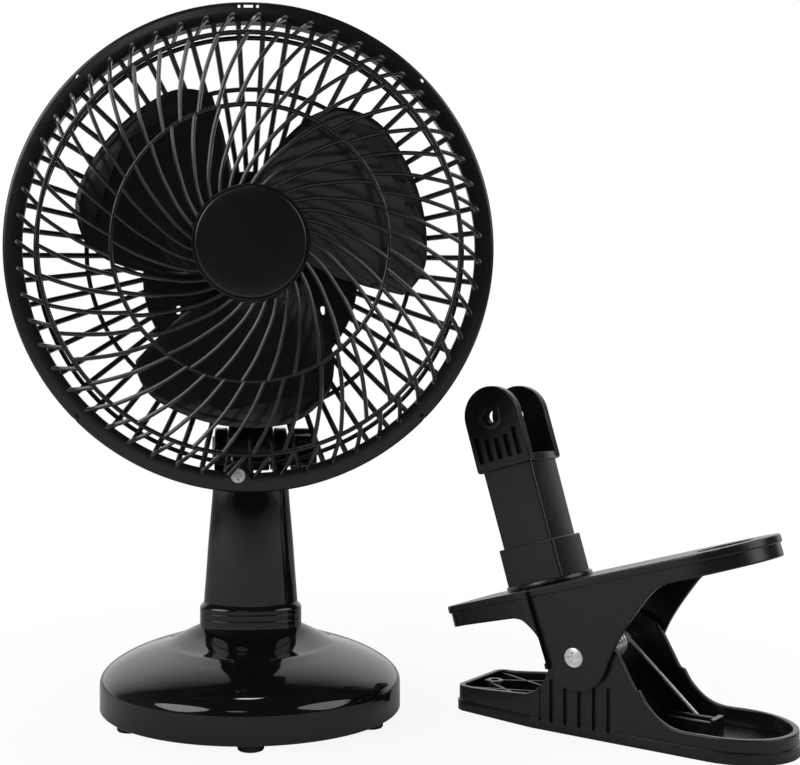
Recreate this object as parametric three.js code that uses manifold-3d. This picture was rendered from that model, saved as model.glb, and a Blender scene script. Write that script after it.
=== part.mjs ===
// A guarded 6-inch fan head on a round desk stand, with the spring clip mount that can carry
// the same head standing beside it. Millimetres, +Z up, and the fan blows along -Y.
// The origin is on the table, at the centre of the whole set's bounding box.
import * as THREE from 'three';
import { mergeVertices } from 'three/addons/utils/BufferGeometryUtils.js';
import Module from 'manifold-3d';

const wasm = await Module();
wasm.setup();

// ---------- driving dimensions ----------
const gap = 0.3; // between pieces that touch
const wall = 2.2; // moulded walls

const foot = { count: 6, radius: 4.8, height: 2.9, circle: 52 };
const base = {
  radius: 59, bottom: 3, sideHeight: 10.4, edgeRise: 3, edgeInset: 1.4,
  shoulderRadius: 35.6, shoulderHeight: 27, deckRadius: 20.8, deckHeight: 34.5,
};
const basePlate = { thickness: 2, bossRadius: 3.2, bossCircle: 46, bossCount: 3 };
const weight = { innerRadius: 12, outerRadius: 40, thickness: 6.5 };
const collar = { halfWidth: 20.1, halfDepth: 13, top: 43.3, beadHeight: 0.7 };
const neck = {
  bottomHalfWidth: 18.2, bottomHalfDepth: 11.1, topHalfWidth: 14.2, topHalfDepth: 8.8,
  topSquareness: 3.2, screwSpacing: 25, screwBossRadius: 3.4, screwBossHeight: 17,
};
const tilt = { height: 103.2, boltRadius: 2.9, slot: 18, earRadius: 8.9, tongue: 14.6, washer: 1 };
const knob = { radius: 8.9, length: 11.4, lobes: 10 };

const head = { height: 180.6, forward: 1 }; // the fan's axis over the table, and ahead of the neck
const band = { radius: 92, innerRadius: 84.6, frontY: -26.5, backY: -13.5, thickness: 2 };
const hub = { radius: 21, frontY: -41.2, thickness: 1.8, rimDepth: 4.2 };
const cap = { radius: 21.4, thickness: 2, stemRadius: 3, stemLength: 4 };
const hoop = { width: 1.9, depth: 3 };
const innerHoop = { radius: 50.4, y: -40, sides: 44 };
const outerHoop = { radius: 77.2, y: -37.6, sides: 55 };
const rib = { width: 1.7, depth: 2.2, spiral: 0.55 }; // spiral: tangent of the angle to a radius
const innerRibs = { count: 33, at: 9.4 }; // at: degrees clockwise from the top, at the inner hoop
const middleRibs = { count: 44, at: 2.7 };
const hooks = { count: 55, at: 5.4, turn: 5, reach: 87 }; // turn: degrees from outer hoop to band
const guardScrew = { angle: 183.2, circle: 85.6, radius: 1.4, headRadius: 2.7 };

const rearRim = { outerRadius: 89.9, thickness: 2.8, frontY: -24.1, flange: 1.9 };
const rearHoops = [{ radius: 63.3, y: -9.2, sides: 57 }, { radius: 81.9, y: -13.6, sides: 57 }];
const rearHoop = { width: 1.8, depth: 1.4 };
const rearRibs = { count: 57, width: 1.8, depth: 2, rimY: -15 };
const rearPlate = { radius: 42, drop: 10, frontY: -5.4, thickness: 2.8, hole: 9 };
const vents = { columns: [28.2, 35.8], rows: 5, pitch: 6.2, width: 2.6, height: 3.8 };

const propeller = {
  tipRadius: 68.5, hubRadius: 15.5, hubFront: -34, hubBack: -13.5, thickness: 1.7,
  frontY: -27.5, sweep: 15, leading: 345.5, rootTrailing: 238, tipTrailing: 268, blades: 3,
};
const housing = { halfWidth: 26.5, halfHeight: 31, backY: 38, squareness: 2.6, backScale: 0.78 };
const arm = { width: 22, depth: 15, neckDrop: 13 };
const housingScrew = { x: 17.5, z: 21, radius: 1.4, headRadius: 2.8, length: 9, boss: 3.2 };
const shaft = { radius: 2, frontY: -31, backY: 27.5 };
const rotor = { radius: 9.9, frontY: 9.2, length: 11.6 };
const stator = { halfWidth: 18, top: 14, bottom: -31, frontY: 9, length: 12, bore: 10.4 };
const limb = { height: 8.4, windowHalfWidth: 12.6, windowHeight: 10 };
const coil = { wrap: 4 };
const bracket = { halfWidth: 17.8, halfHeight: 7, thickness: 2, offset: 1.4, boss: 6, bossLength: 3.2 };
const bush = { radius: 4.2, length: 4.6 };
const motorScrew = { x: 14.4, radius: 1.3, headRadius: 2.6 };
const speedSwitch = { halfSize: 8, depth: 7.4 };
const speedKnob = { radius: 8.5, length: 9, stemRadius: 2.2 };
const gland = { drop: 31, radius: 5, bore: 2 };

const clip = { x: 134.3, y: -25.7, turn: -41 };
const pivot = { height: 29.5, screwRadius: 2.2, headRadius: 3.6, recessRadius: 5 };
const lower = { halfWidth: 22.5, tipX: -55, endX: 71.6, tipHeight: 9.6, floor: 2.2, handleHeight: 8.5 };
const upper = {
  halfWidth: 25.5, tipU: -53, endU: 75.5, plateTop: 27.1, plate: 2.4, skirt: 8.2,
  earRadius: 12.5, recline: 16.5, wall: 2.2,
};
const tipTaper = { halfWidthLoss: 4.5, length: 36, corner: 5 };
const fingerHole = { centreU: 56.5, halfLength: 9.5, halfWidth: 12 };
const post = { centreU: -15.3, side: 20.8, collarSide: 24.6, collarHeight: 14.6, flangeRadius: 17 };
const clevis = { radius: 11.9, bottom: 74.4, hole: 95.2, halfThickness: 13, floor: 3 };
const spring = { coilRadius: 5.2, wireRadius: 0.75, curls: 9, pitch: 2.4, upperLeg: 66, lowerLeg: -43 };

// ---------- finishes ----------
const finish = (colour, roughness, metalness = 0) => ({ colour, roughness, metalness });
const glossBlack = finish(0x0d0d0e, 0.12);
const guardBlack = finish(0x141414, 0.35);
const bladeBlack = finish(0x1c2026, 0.22);
const clipBlack = finish(0x1b1b1b, 0.42);
const rubber = finish(0x202020, 0.85);
const zinc = finish(0xc9ccce, 0.28, 1);
const springSteel = finish(0xbfc2c4, 0.18, 1);
const castIron = finish(0x55575a, 0.6, 0.8);
const lamination = finish(0x6d6f73, 0.45, 0.9);
const copper = finish(0xa8562c, 0.35, 0.9);
const bronze = finish(0x9a7440, 0.4, 0.9);

// ---------- solids ----------
const radians = THREE.MathUtils.degToRad;
const tau = Math.PI * 2;

// A closed mesh with its shared vertices merged, its slivers dropped and its faces outwards.
function toSolid(geometry) {
  geometry.deleteAttribute('normal');
  geometry.deleteAttribute('uv');
  const merged = mergeVertices(geometry);
  const points = merged.attributes.position.array;
  const corner = (i) => new THREE.Vector3().fromArray(points, 3 * i);
  const triangles = [];
  let volume = 0;
  for (let i = 0; i < merged.index.count; i += 3) {
    const [a, b, c] = [0, 1, 2].map((k) => merged.index.getX(i + k));
    if (a === b || b === c || c === a) continue;
    triangles.push([a, b, c]);
    volume += corner(a).dot(corner(b).cross(corner(c)));
  }
  const outward = volume > 0 ? triangles : triangles.map(([a, b, c]) => [a, c, b]);
  return new wasm.Manifold(new wasm.Mesh({
    numProp: 3,
    vertProperties: new Float32Array(points),
    triVerts: new Uint32Array(outward.flat()),
  }));
}

function piece(name, solid, { colour, roughness, metalness }) {
  const { vertProperties, triVerts } = solid.getMesh();
  const geometry = new THREE.BufferGeometry();
  geometry.setAttribute('position', new THREE.BufferAttribute(vertProperties, 3));
  geometry.setIndex(new THREE.BufferAttribute(triVerts, 1));
  geometry.computeVertexNormals();
  const material = new THREE.MeshStandardMaterial({ color: colour, roughness, metalness });
  const mesh = new THREE.Mesh(geometry, material);
  mesh.name = name;
  return mesh;
}

const join = (first, ...rest) => rest.flat().reduce((whole, part) => whole.add(part), first);
const cut = (first, ...rest) => rest.flat().reduce((whole, part) => whole.subtract(part), first);

function box(x0, x1, y0, y1, z0, z1) {
  const geometry = new THREE.BoxGeometry(x1 - x0, y1 - y0, z1 - z0);
  return toSolid(geometry.translate((x0 + x1) / 2, (y0 + y1) / 2, (z0 + z1) / 2));
}

// Turns a geometry made about +Y so that it stands along another axis.
function along(axis, geometry) {
  if (axis === 'x') geometry.rotateZ(-Math.PI / 2);
  if (axis === 'z') geometry.rotateX(Math.PI / 2);
  return geometry;
}

function rod(axis, radius, from, to, [x, y, z] = [0, 0, 0], sides = 10) {
  const geometry = new THREE.CylinderGeometry(radius, radius, to - from, sides);
  geometry.translate(0, (from + to) / 2, 0);
  return toSolid(along(axis, geometry).translate(x, y, z));
}

// A closed outline of [radius, height] points, turned about an axis through a point.
function turned(axis, outline, [x, y, z] = [0, 0, 0], sides = 28, start = 0) {
  const points = [...outline, outline[0]].map(([r, h]) => new THREE.Vector2(r, h));
  return toSolid(along(axis, new THREE.LatheGeometry(points, sides, start)).translate(x, y, z));
}

const ring = (axis, inner, outer, from, to, at, sides, start) =>
  turned(axis, [[inner, from], [outer, from], [outer, to], [inner, to]], at, sides, start);

const outlineShape = (points) => new THREE.Shape(points.map(([a, b]) => new THREE.Vector2(a, b)));

// A flat shape carried from one level to another along x (shape in y, z), y (x, z) or z (x, y).
function prism(axis, shape, from, to) {
  const flat = Array.isArray(shape) ? outlineShape(shape) : shape;
  const geometry = new THREE.ExtrudeGeometry(flat, {
    depth: to - from, bevelEnabled: false, curveSegments: 4,
  });
  const [x, y, z] = [[1, 0, 0], [0, 1, 0], [0, 0, 1]].map((v) => new THREE.Vector3(...v));
  if (axis === 'x') geometry.applyMatrix4(new THREE.Matrix4().makeBasis(y, z, x)).translate(from, 0, 0);
  if (axis === 'y') {
    geometry.applyMatrix4(new THREE.Matrix4().makeBasis(x, z, y.clone().negate())).translate(0, to, 0);
  }
  if (axis === 'z') geometry.translate(0, 0, from);
  return toSolid(geometry);
}

// A skin over rings of points, each with the same count. Each end is closed by a strip that zigzags
// between its two halves, so a thin curved section closes within itself.
function loft(rings) {
  const count = rings[0].length;
  const last = count * (rings.length - 1);
  const index = [];
  for (let i = 0; i < count; i += 1) {
    const next = (i + 1) % count;
    for (let row = 0; row + 1 < rings.length; row += 1) {
      const [a, b] = [row * count + i, row * count + next];
      index.push(a, b, b + count, a, b + count, a + count);
    }
  }
  for (let [a, b, low] = [0, count - 1, true]; b - a > 1; low = !low) {
    const [p, q, r] = low ? [a, a + 1, b] : [a, b - 1, b];
    index.push(r, q, p, last + p, last + q, last + r);
    if (low) a += 1;
    else b -= 1;
  }
  const geometry = new THREE.BufferGeometry();
  geometry.setAttribute('position', new THREE.Float32BufferAttribute(rings.flat(2), 3));
  geometry.setIndex(index);
  return toSolid(geometry);
}

// Points round a superellipse: squareness 2 is an ellipse, and more is nearer to a rectangle.
function oval(halfWidth, halfDepth, squareness = 2, sides = 20) {
  const bulge = (value) => Math.sign(value) * Math.abs(value) ** (2 / squareness);
  return Array.from({ length: sides }, (_, i) => {
    const angle = (i + 0.5) * tau / sides;
    return [halfWidth * bulge(Math.cos(angle)), halfDepth * bulge(Math.sin(angle))];
  });
}

// A point of the fan head: degrees clockwise from the top as the viewer sees it.
const onHead = (angle, radius, y) =>
  new THREE.Vector3(radius * Math.sin(radians(angle)), y, radius * Math.cos(radians(angle)));

// A rib along points of the head: flat towards the viewer, and drawn to an edge behind for draft.
function bar(path, width, depth) {
  const side = path.at(-1).clone().sub(path[0]).cross(new THREE.Vector3(0, 1, 0)).normalize();
  return loft(path.map((point, i) => {
    const run = path[Math.min(i + 1, path.length - 1)].clone().sub(path[Math.max(i - 1, 0)]);
    const face = side.clone().cross(run).normalize();
    return [[1, -1], [-1, -1], [0, 1]].map(([a, b]) => point.clone()
      .addScaledVector(side, a * width / 2).addScaledVector(face, b * depth / 2).toArray());
  }));
}

const turns = (count, make) => Array.from({ length: count }, (_, i) => make(i * 360 / count));

const screwHead = (axis, radius, from, to, at) => rod(axis, radius, from, to, at, 8);

// ---------- stand ----------
// The dome in section, from the foot of its side to the deck under the neck.
function domeOutline() {
  const sideTop = base.bottom + base.sideHeight;
  const crown = new THREE.SplineCurve([
    [base.radius, sideTop - 1.6],
    [base.radius - base.edgeInset, sideTop + base.edgeRise],
    [(base.radius + base.shoulderRadius) / 2 + 2, base.shoulderHeight - 4.8],
    [base.shoulderRadius, base.shoulderHeight],
    [(base.shoulderRadius + base.deckRadius) / 2 - 0.4, base.shoulderHeight + 4.2],
    [base.deckRadius, base.deckHeight],
  ].map(([r, z]) => new THREE.Vector2(r, z)));
  return [[base.radius, base.bottom], ...crown.getPoints(4).map((p) => [p.x, p.y])];
}

// The same section one wall further in.
function insideOf(outline, thickness) {
  return outline.map(([r, z], i) => {
    const [before, after] = [outline[Math.max(i - 1, 0)], outline[Math.min(i + 1, outline.length - 1)]];
    const run = new THREE.Vector2(after[0] - before[0], after[1] - before[1]).normalize();
    return [r - run.y * thickness, z + run.x * thickness];
  });
}

const ovalRing = (halfWidth, halfDepth, z, squareness) =>
  oval(halfWidth, halfDepth, squareness).map(([x, y]) => [x, y, z]);

const neckBottom = base.deckHeight + gap;
const bossAngles = turns(basePlate.bossCount, (angle) => radians(angle - 60)); // between the feet
const onBossCircle = (angle) =>
  [basePlate.bossCircle * Math.cos(angle), basePlate.bossCircle * Math.sin(angle), 0];
const plateBottom = base.bottom + gap;
const plateTop = plateBottom + basePlate.thickness;

function baseDome() {
  const outside = domeOutline();
  const inside = insideOf(outside, wall).reverse();
  inside[inside.length - 1] = [base.radius - wall, base.bottom];
  const deckBottom = base.deckHeight - wall;
  const shell = turned('z', [...outside, [0, base.deckHeight], [0, deckBottom],
    [base.deckRadius - wall / 2, deckBottom], ...inside.slice(1)]);
  const swell = [[0.2, 0], [0.4, 1], [0.6, 0], [0.85, 1], [1, 0]];
  const height = collar.top - base.deckHeight;
  const sleeve = loft([[-0.05, 0], ...swell].map(([rise, bead]) => ovalRing(
    collar.halfWidth + (bead - 1) * collar.beadHeight, collar.halfDepth + (bead - 1) * collar.beadHeight,
    base.deckHeight + rise * height,
  )));
  const socket = loft([base.deckHeight, collar.top + 1].map((z) =>
    ovalRing(neck.bottomHalfWidth + gap, neck.bottomHalfDepth + gap, z)));
  const bosses = bossAngles.map((angle) =>
    rod('z', basePlate.bossRadius, plateTop + gap, base.shoulderHeight - 7, onBossCircle(angle), 10));
  const pilots = bossAngles.map((angle) => rod('z', 1.5, plateTop, 16, onBossCircle(angle), 8));
  const neckHoles = [-1, 1].map((side) =>
    rod('z', 1.9, deckBottom - 1, base.deckHeight + 1, [side * neck.screwSpacing / 2, 0, 0], 12));
  return cut(join(shell, sleeve, bosses), socket, pilots, neckHoles);
}

function bottomPlate() {
  const plate = rod('z', base.radius - wall - gap, plateBottom, plateTop, [0, 0, 0], 28);
  return cut(plate, bossAngles.map((angle) => rod('z', 1.7, 0, 9, onBossCircle(angle), 8)));
}

const ballast = () =>
  ring('z', weight.innerRadius, weight.outerRadius, plateTop + gap, plateTop + gap + weight.thickness);

const footPad = () => turned('z', [
  [0, 0], [foot.radius - 0.6, 0], [foot.radius, 0.6], [foot.radius, foot.height], [0, foot.height],
], [0, 0, 0], 10);

const plateScrew = (angle) => join(
  screwHead('z', 3, plateBottom - gap - 1.4, plateBottom - gap, onBossCircle(angle)),
  rod('z', 1.2, plateBottom - gap - 0.2, 15, onBossCircle(angle), 8),
);

function neckColumn() {
  const slotFloor = tilt.height - tilt.earRadius - 2;
  const rise = [0, 0.3, 0.6, 0.89, 1];
  const top = tilt.height + tilt.earRadius + 1;
  const section = (t, inset) => {
    const z = neckBottom + t * (tilt.height - neckBottom);
    const ease = Math.min(1, t * 1.12);
    const width = THREE.MathUtils.lerp(neck.bottomHalfWidth, neck.topHalfWidth, ease);
    const depth = THREE.MathUtils.lerp(neck.bottomHalfDepth, neck.topHalfDepth, ease);
    const squareness = THREE.MathUtils.lerp(2, neck.topSquareness, t);
    return ovalRing(width - inset, depth - inset, z, squareness);
  };
  const topRing = ovalRing(neck.topHalfWidth, neck.topHalfDepth, top, neck.topSquareness);
  const outside = loft([...rise.map((t) => section(t, 0)), topRing]);
  const roof = (slotFloor - 4 - neckBottom) / (tilt.height - neckBottom);
  const lid = [0, 0.5, 1].map((t) => section(t * roof, wall));
  lid[0] = lid[0].map(([x, y, z]) => [x, y, z - 1]);
  const hollow = loft(lid);
  const crown = new THREE.Shape();
  crown.moveTo(-30, 0);
  crown.lineTo(30, 0);
  crown.lineTo(30, tilt.height);
  crown.lineTo(tilt.earRadius, tilt.height);
  crown.absarc(0, tilt.height, tilt.earRadius, 0, Math.PI, false);
  crown.lineTo(-30, tilt.height);
  const slot = box(-tilt.slot / 2, tilt.slot / 2, -20, 20, slotFloor, top + 5);
  const bosses = [-1, 1].map((side) => rod('z', neck.screwBossRadius, neckBottom,
    neckBottom + neck.screwBossHeight, [side * neck.screwSpacing / 2, 0, 0], 14));
  const pilots = [-1, 1].map((side) => rod('z', 1.6, neckBottom - 1,
    neckBottom + neck.screwBossHeight - 2, [side * neck.screwSpacing / 2, 0, 0], 10));
  const crossHole = rod('x', tilt.boltRadius + gap, -30, 30, [0, 0, tilt.height], 20);
  const headSeat = rod('x', boltHead.radius + gap, -30, boltHead.seat, [0, 0, tilt.height], 6);
  const column = cut(outside, hollow).intersect(prism('x', crown, -30, 30));
  return cut(join(column, bosses), slot, pilots, crossHole, headSeat);
}

const neckScrew = () => join(
  screwHead('z', 3.2, base.deckHeight - wall - gap - 1.5, base.deckHeight - wall - gap),
  rod('z', 1.3, base.deckHeight - wall - gap - 0.2, neckBottom + neck.screwBossHeight - 4, [0, 0, 0], 8),
);

// ---------- tilt joint ----------
const boltHead = { radius: 5.4, thickness: 3.4, seat: -neck.topHalfWidth + 2.8 };
const knobStart = neck.topHalfWidth + gap;
const nut = { radius: 5.2, thickness: 4.4 };

function tiltBolt() {
  const inner = boltHead.seat - gap;
  return join(
    rod('x', boltHead.radius, inner - boltHead.thickness, inner, [0, 0, 0], 6),
    rod('x', tilt.boltRadius, inner - 0.5, knobStart + knob.length - 3, [0, 0, 0], 20),
  );
}

function knobOutline(radius, lobes, depth) {
  return Array.from({ length: lobes * 4 }, (_, i) => {
    const angle = i * tau / (lobes * 4);
    const r = radius - depth * (0.5 - 0.5 * Math.cos(lobes * angle));
    return [r * Math.cos(angle), r * Math.sin(angle)];
  });
}

function tiltKnob() {
  const body = prism('x', knobOutline(knob.radius, knob.lobes, 0.9), knobStart + 1.2, knobStart + knob.length);
  const boss = rod('x', knob.radius - 2.4, knobStart, knobStart + 2, [0, 0, 0], 16);
  const nutSeat = rod('x', nut.radius + gap, knobStart - 1, knobStart + nut.thickness + gap, [0, 0, 0], 6);
  const bore = rod('x', tilt.boltRadius + gap, knobStart, knobStart + knob.length - 2, [0, 0, 0], 20);
  return cut(join(body, boss), nutSeat, bore);
}

const tiltNut = () => cut(
  rod('x', nut.radius, knobStart + gap, knobStart + nut.thickness, [0, 0, 0], 6),
  rod('x', tilt.boltRadius + gap, knobStart - 1, knobStart + 9, [0, 0, 0], 20),
);

const tiltWasher = () => {
  const inner = tilt.tongue / 2 + gap;
  return ring('x', tilt.boltRadius + gap, tilt.earRadius - 1, inner, inner + tilt.washer, [0, 0, 0], 14);
};

// ---------- guard ----------
// Degrees that a rib of the spiral has turned between the inner hoop and a radius.
const windAt = (radius) => THREE.MathUtils.radToDeg(rib.spiral * Math.log(radius / innerHoop.radius));

// Ribs that wind out from one radius to another at the grille's spiral angle.
function windingRibs(count, startAngle, [fromRadius, fromY], [toRadius, toY], steps) {
  return turns(count, (turn) => bar(Array.from({ length: steps + 1 }, (_, i) => {
    const radius = THREE.MathUtils.lerp(fromRadius, toRadius, i / steps);
    return onHead(startAngle + turn + windAt(radius), radius, THREE.MathUtils.lerp(fromY, toY, i / steps));
  }), rib.width, rib.depth));
}

// A hoop with one flat side for each rib, the first corner at an angle in degrees.
const guardHoop = ({ radius, y, sides }, { width, depth }, corner) =>
  ring('y', radius - width / 2, radius + width / 2, y - depth / 2, y + depth / 2, [0, 0, 0], sides,
    radians(corner));

const screwSpot = (y) => onHead(guardScrew.angle, guardScrew.circle, y).toArray();

function frontGrille() {
  const wallInside = rearRim.outerRadius + gap;
  const bandBack = band.frontY + band.thickness;
  const rim = turned('y', [
    [band.innerRadius, band.frontY], [band.radius - 1.2, band.frontY], [band.radius, band.frontY + 1.2],
    [band.radius, band.backY], [wallInside, band.backY], [wallInside, bandBack], [band.innerRadius, bandBack],
  ], [0, 0, 0], hooks.count);
  const hubInside = hub.radius - 2.2;
  const centre = turned('y', [
    [cap.stemRadius + gap, hub.frontY], [hub.radius, hub.frontY], [hub.radius, hub.frontY + hub.rimDepth],
    [hubInside, hub.frontY + hub.rimDepth], [hubInside, hub.frontY + hub.thickness],
    [cap.stemRadius + gap, hub.frontY + hub.thickness],
  ], [0, 0, 0], innerRibs.count, radians(innerRibs.at + windAt(hub.radius) + 180 / innerRibs.count));
  const inner = windingRibs(innerRibs.count, innerRibs.at, [hub.radius - 1, innerHoop.y],
    [innerHoop.radius, innerHoop.y], 2);
  const middle = windingRibs(middleRibs.count, middleRibs.at, [innerHoop.radius, innerHoop.y],
    [outerHoop.radius, outerHoop.y], 1);
  const outer = turns(hooks.count, (turn) => {
    const start = onHead(hooks.at + turn, outerHoop.radius, 0);
    const end = onHead(hooks.at + turn + hooks.turn, hooks.reach, 0);
    return bar([[0, outerHoop.y - 0.2], [0.8, outerHoop.y + 3.4], [1, band.frontY + 0.7]]
      .map(([share, y]) => start.clone().lerp(end, share).setY(y)), rib.width, rib.depth);
  });
  const lug = rod('y', 5, band.frontY, bandBack, screwSpot(0), 20);
  const hole = rod('y', guardScrew.radius + gap, band.frontY - 1, bandBack + 1, screwSpot(0), 12);
  const hoops = [
    guardHoop(innerHoop, hoop, middleRibs.at + 180 / innerHoop.sides),
    guardHoop(outerHoop, hoop, hooks.at + 180 / outerHoop.sides),
  ];
  const slots = snapAngles.map((angle) => snapBox(angle, wallInside - 1.6, wallInside - 0.2, 3.6,
    band.frontY - 1, bandBack + 1));
  const grille = join(rim, hoops, centre, inner, middle, outer, lug);
  return cut(grille, hole, slots);
}

const snapAngles = [45, 135, 225, 315];

// A small block across the rim at an angle of the head.
function snapBox(angle, innerRadius, outerRadius, halfWidth, fromY, toY) {
  const geometry = new THREE.BoxGeometry(2 * halfWidth, toY - fromY, outerRadius - innerRadius);
  geometry.translate(0, (fromY + toY) / 2, (innerRadius + outerRadius) / 2);
  return toSolid(geometry.rotateY(radians(angle)));
}

function centreCap() {
  const back = hub.frontY - gap;
  const front = back - cap.thickness;
  const dome = new THREE.EllipseCurve(cap.radius - 1.6, front + 1.6, 1.6, 1.4, 0, -Math.PI / 2, true);
  const edge = dome.getPoints(2).map((p) => [p.x, p.y]);
  return turned('y', [
    [0, front - 0.4], [cap.radius * 0.6, front - 0.2], ...edge.reverse(), [cap.radius, back],
    [cap.stemRadius, back], [cap.stemRadius, back + cap.stemLength], [0, back + cap.stemLength],
  ], [0, 0, 0], 24);
}

function rearGrille() {
  const flangeFront = band.backY + gap;
  const innerRadius = rearRim.outerRadius - rearRim.thickness;
  const rim = turned('y', [
    [innerRadius, rearRim.frontY], [rearRim.outerRadius, rearRim.frontY],
    [rearRim.outerRadius, flangeFront], [band.radius - 0.2, flangeFront],
    [band.radius - 0.2, flangeFront + rearRim.flange], [innerRadius, flangeFront + rearRim.flange],
  ], [0, 0, 0], rearRibs.count);
  const plateY = rearPlate.frontY + rearPlate.thickness / 2;
  const plate = rod('y', rearPlate.radius, rearPlate.frontY, rearPlate.frontY + rearPlate.thickness,
    [0, 0, -rearPlate.drop], 48);
  const [near, far] = rearHoops;
  const spokes = turns(rearRibs.count, (turn) => {
    const angle = turn + 180 / rearRibs.count;
    // the plate's edge along this spoke, from the fan's axis
    const side = rearPlate.drop * Math.cos(radians(angle));
    const across = rearPlate.drop * Math.sin(radians(angle));
    const edge = Math.sqrt(rearPlate.radius ** 2 - across ** 2) - side;
    return bar([[edge - 1, plateY], [innerRadius + 1, rearRibs.rimY]]
      .map(([radius, y]) => onHead(angle, radius, y)), rearRibs.width, rearRibs.depth);
  });
  const hoops = rearHoops.map((hoopSize) => guardHoop(hoopSize, rearHoop, 180 / rearRibs.count));
  const boss = rod('y', 4.4, rearRim.frontY, flangeFront + rearRim.flange, screwSpot(0), 16);
  const bossTrim = ring('y', rearRim.outerRadius, 120, rearRim.frontY - 1, flangeFront, [0, 0, 0], 60);
  const snaps = snapAngles.map((angle) => snapBox(angle, rearRim.outerRadius - 1.2,
    rearRim.outerRadius - 0.2, 3.2, band.frontY + 0.6, rearRim.frontY + 1));
  const slots = [-1, 1].flatMap((side) => vents.columns.flatMap((column) =>
    Array.from({ length: vents.rows }, (_, row) => {
      const [x, z] = [side * column, -rearPlate.drop + (row - (vents.rows - 1) / 2) * vents.pitch];
      return box(x - vents.width / 2, x + vents.width / 2, -9, 0, z - vents.height / 2, z + vents.height / 2);
    })));
  const holes = housingScrewSpots.map((spot) => rod('y', housingScrew.radius + gap, -9, 0, spot, 10));
  const grille = join(rim, hoops, plate, spokes, cut(boss, bossTrim), snaps);
  const pilot = rod('y', guardScrew.radius + gap, rearRim.frontY - 1, flangeFront, screwSpot(0), 12);
  return cut(grille, slots, holes, pilot, rod('y', rearPlate.hole, -9, 0, [0, 0, 0], 24));
}

const guardScrewPiece = () => join(
  screwHead('y', guardScrew.headRadius, band.frontY - gap - 1.4, band.frontY - gap, screwSpot(0)),
  rod('y', guardScrew.radius, band.frontY - gap - 0.2, band.backY - 2, screwSpot(0), 8),
);

// ---------- propeller ----------
// One blade as a sheet: share 0 is its trailing edge, in front, and 1 its leading edge, behind.
function bladePoint(share, rise, turn, lift) {
  const corner = 1 - 0.1 * Math.abs(2 * share - 1) ** 5;
  const radius = THREE.MathUtils.lerp(propeller.hubRadius - 1.5, propeller.tipRadius * corner, rise);
  const out = Math.max(0, radius - propeller.hubRadius) / (propeller.tipRadius - propeller.hubRadius);
  const trailing = THREE.MathUtils.lerp(propeller.rootTrailing, propeller.tipTrailing, out ** 0.8);
  const angle = THREE.MathUtils.lerp(trailing, propeller.leading, share);
  const y = propeller.frontY + propeller.sweep * (share + 0.12 * Math.sin(Math.PI * share)) + lift;
  return onHead(angle + turn, radius, y).toArray();
}

function blade(turn) {
  const [across, out] = [5, 3];
  const rows = Array.from({ length: out + 1 }, (_, j) => {
    const walk = (lift) => Array.from({ length: across + 1 }, (_, i) =>
      bladePoint(i / across, j / out, turn, lift));
    return [...walk(-propeller.thickness / 2), ...walk(propeller.thickness / 2).reverse()];
  });
  return loft(rows);
}

function propellerSolid() {
  const { hubRadius, hubFront, hubBack } = propeller;
  const cup = turned('y', [
    [0, hubFront], [hubRadius - 5, hubFront + 0.4], [hubRadius - 1.2, hubFront + 2.4],
    [hubRadius, hubFront + 5], [hubRadius, hubBack], [hubRadius - 1.8, hubBack],
    [hubRadius - 1.8, hubFront + 5.4], [hubRadius - 5, hubFront + 2.6], [4.6, hubFront + 2.4],
    [4.6, hubBack], [0, hubBack],
  ], [0, 0, 0], 24);
  const inside = ring('y', 4.2, hubRadius - 1, hubFront + 6, hubBack + 9, [0, 0, 0], 24);
  const blades = turns(propeller.blades, (turn) => cut(blade(turn), inside));
  return cut(join(cup, blades), rod('y', shaft.radius + gap, shaft.frontY - gap, hubBack + 1));
}

// ---------- motor ----------
const plateBack = rearPlate.frontY + rearPlate.thickness;
const housingScrewSpots = [[-1, -1], [1, -1], [1, 1], [-1, 1]]
  .map(([a, b]) => [a * housingScrew.x, 0, b * housingScrew.z - rearPlate.drop]);

const housingRing = (y, inset, scale = 1) => oval(
  housing.halfWidth * scale - inset, housing.halfHeight * scale - inset, housing.squareness, 24,
).map(([x, z]) => [x, y, z - rearPlate.drop]);

const tiltDrop = head.height - tilt.height; // from the fan's axis down to the tilt axis
const tiltSpot = [0, head.forward, -tiltDrop];

// The arm under the motor, in side view: it ends in a round tongue on the tilt axis.
function armSides() {
  const shape = new THREE.Shape();
  const tongue = tilt.earRadius - 0.7;
  const [y, z] = [head.forward, -tiltDrop];
  const top = -rearPlate.drop - housing.halfHeight + 8;
  shape.moveTo(y - tongue, z);
  shape.lineTo(y - tongue, z + 4);
  shape.lineTo(y - tongue + 4, z + arm.neckDrop);
  shape.lineTo(plateBack + gap + 4, top);
  shape.lineTo(plateBack + gap + 4 + arm.depth, top);
  shape.lineTo(y + tongue + 1.5, z + arm.neckDrop);
  shape.lineTo(y + tongue, z + 4);
  shape.lineTo(y + tongue, z);
  shape.absarc(y, z, tongue, 0, -Math.PI, true);
  return shape;
}

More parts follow.
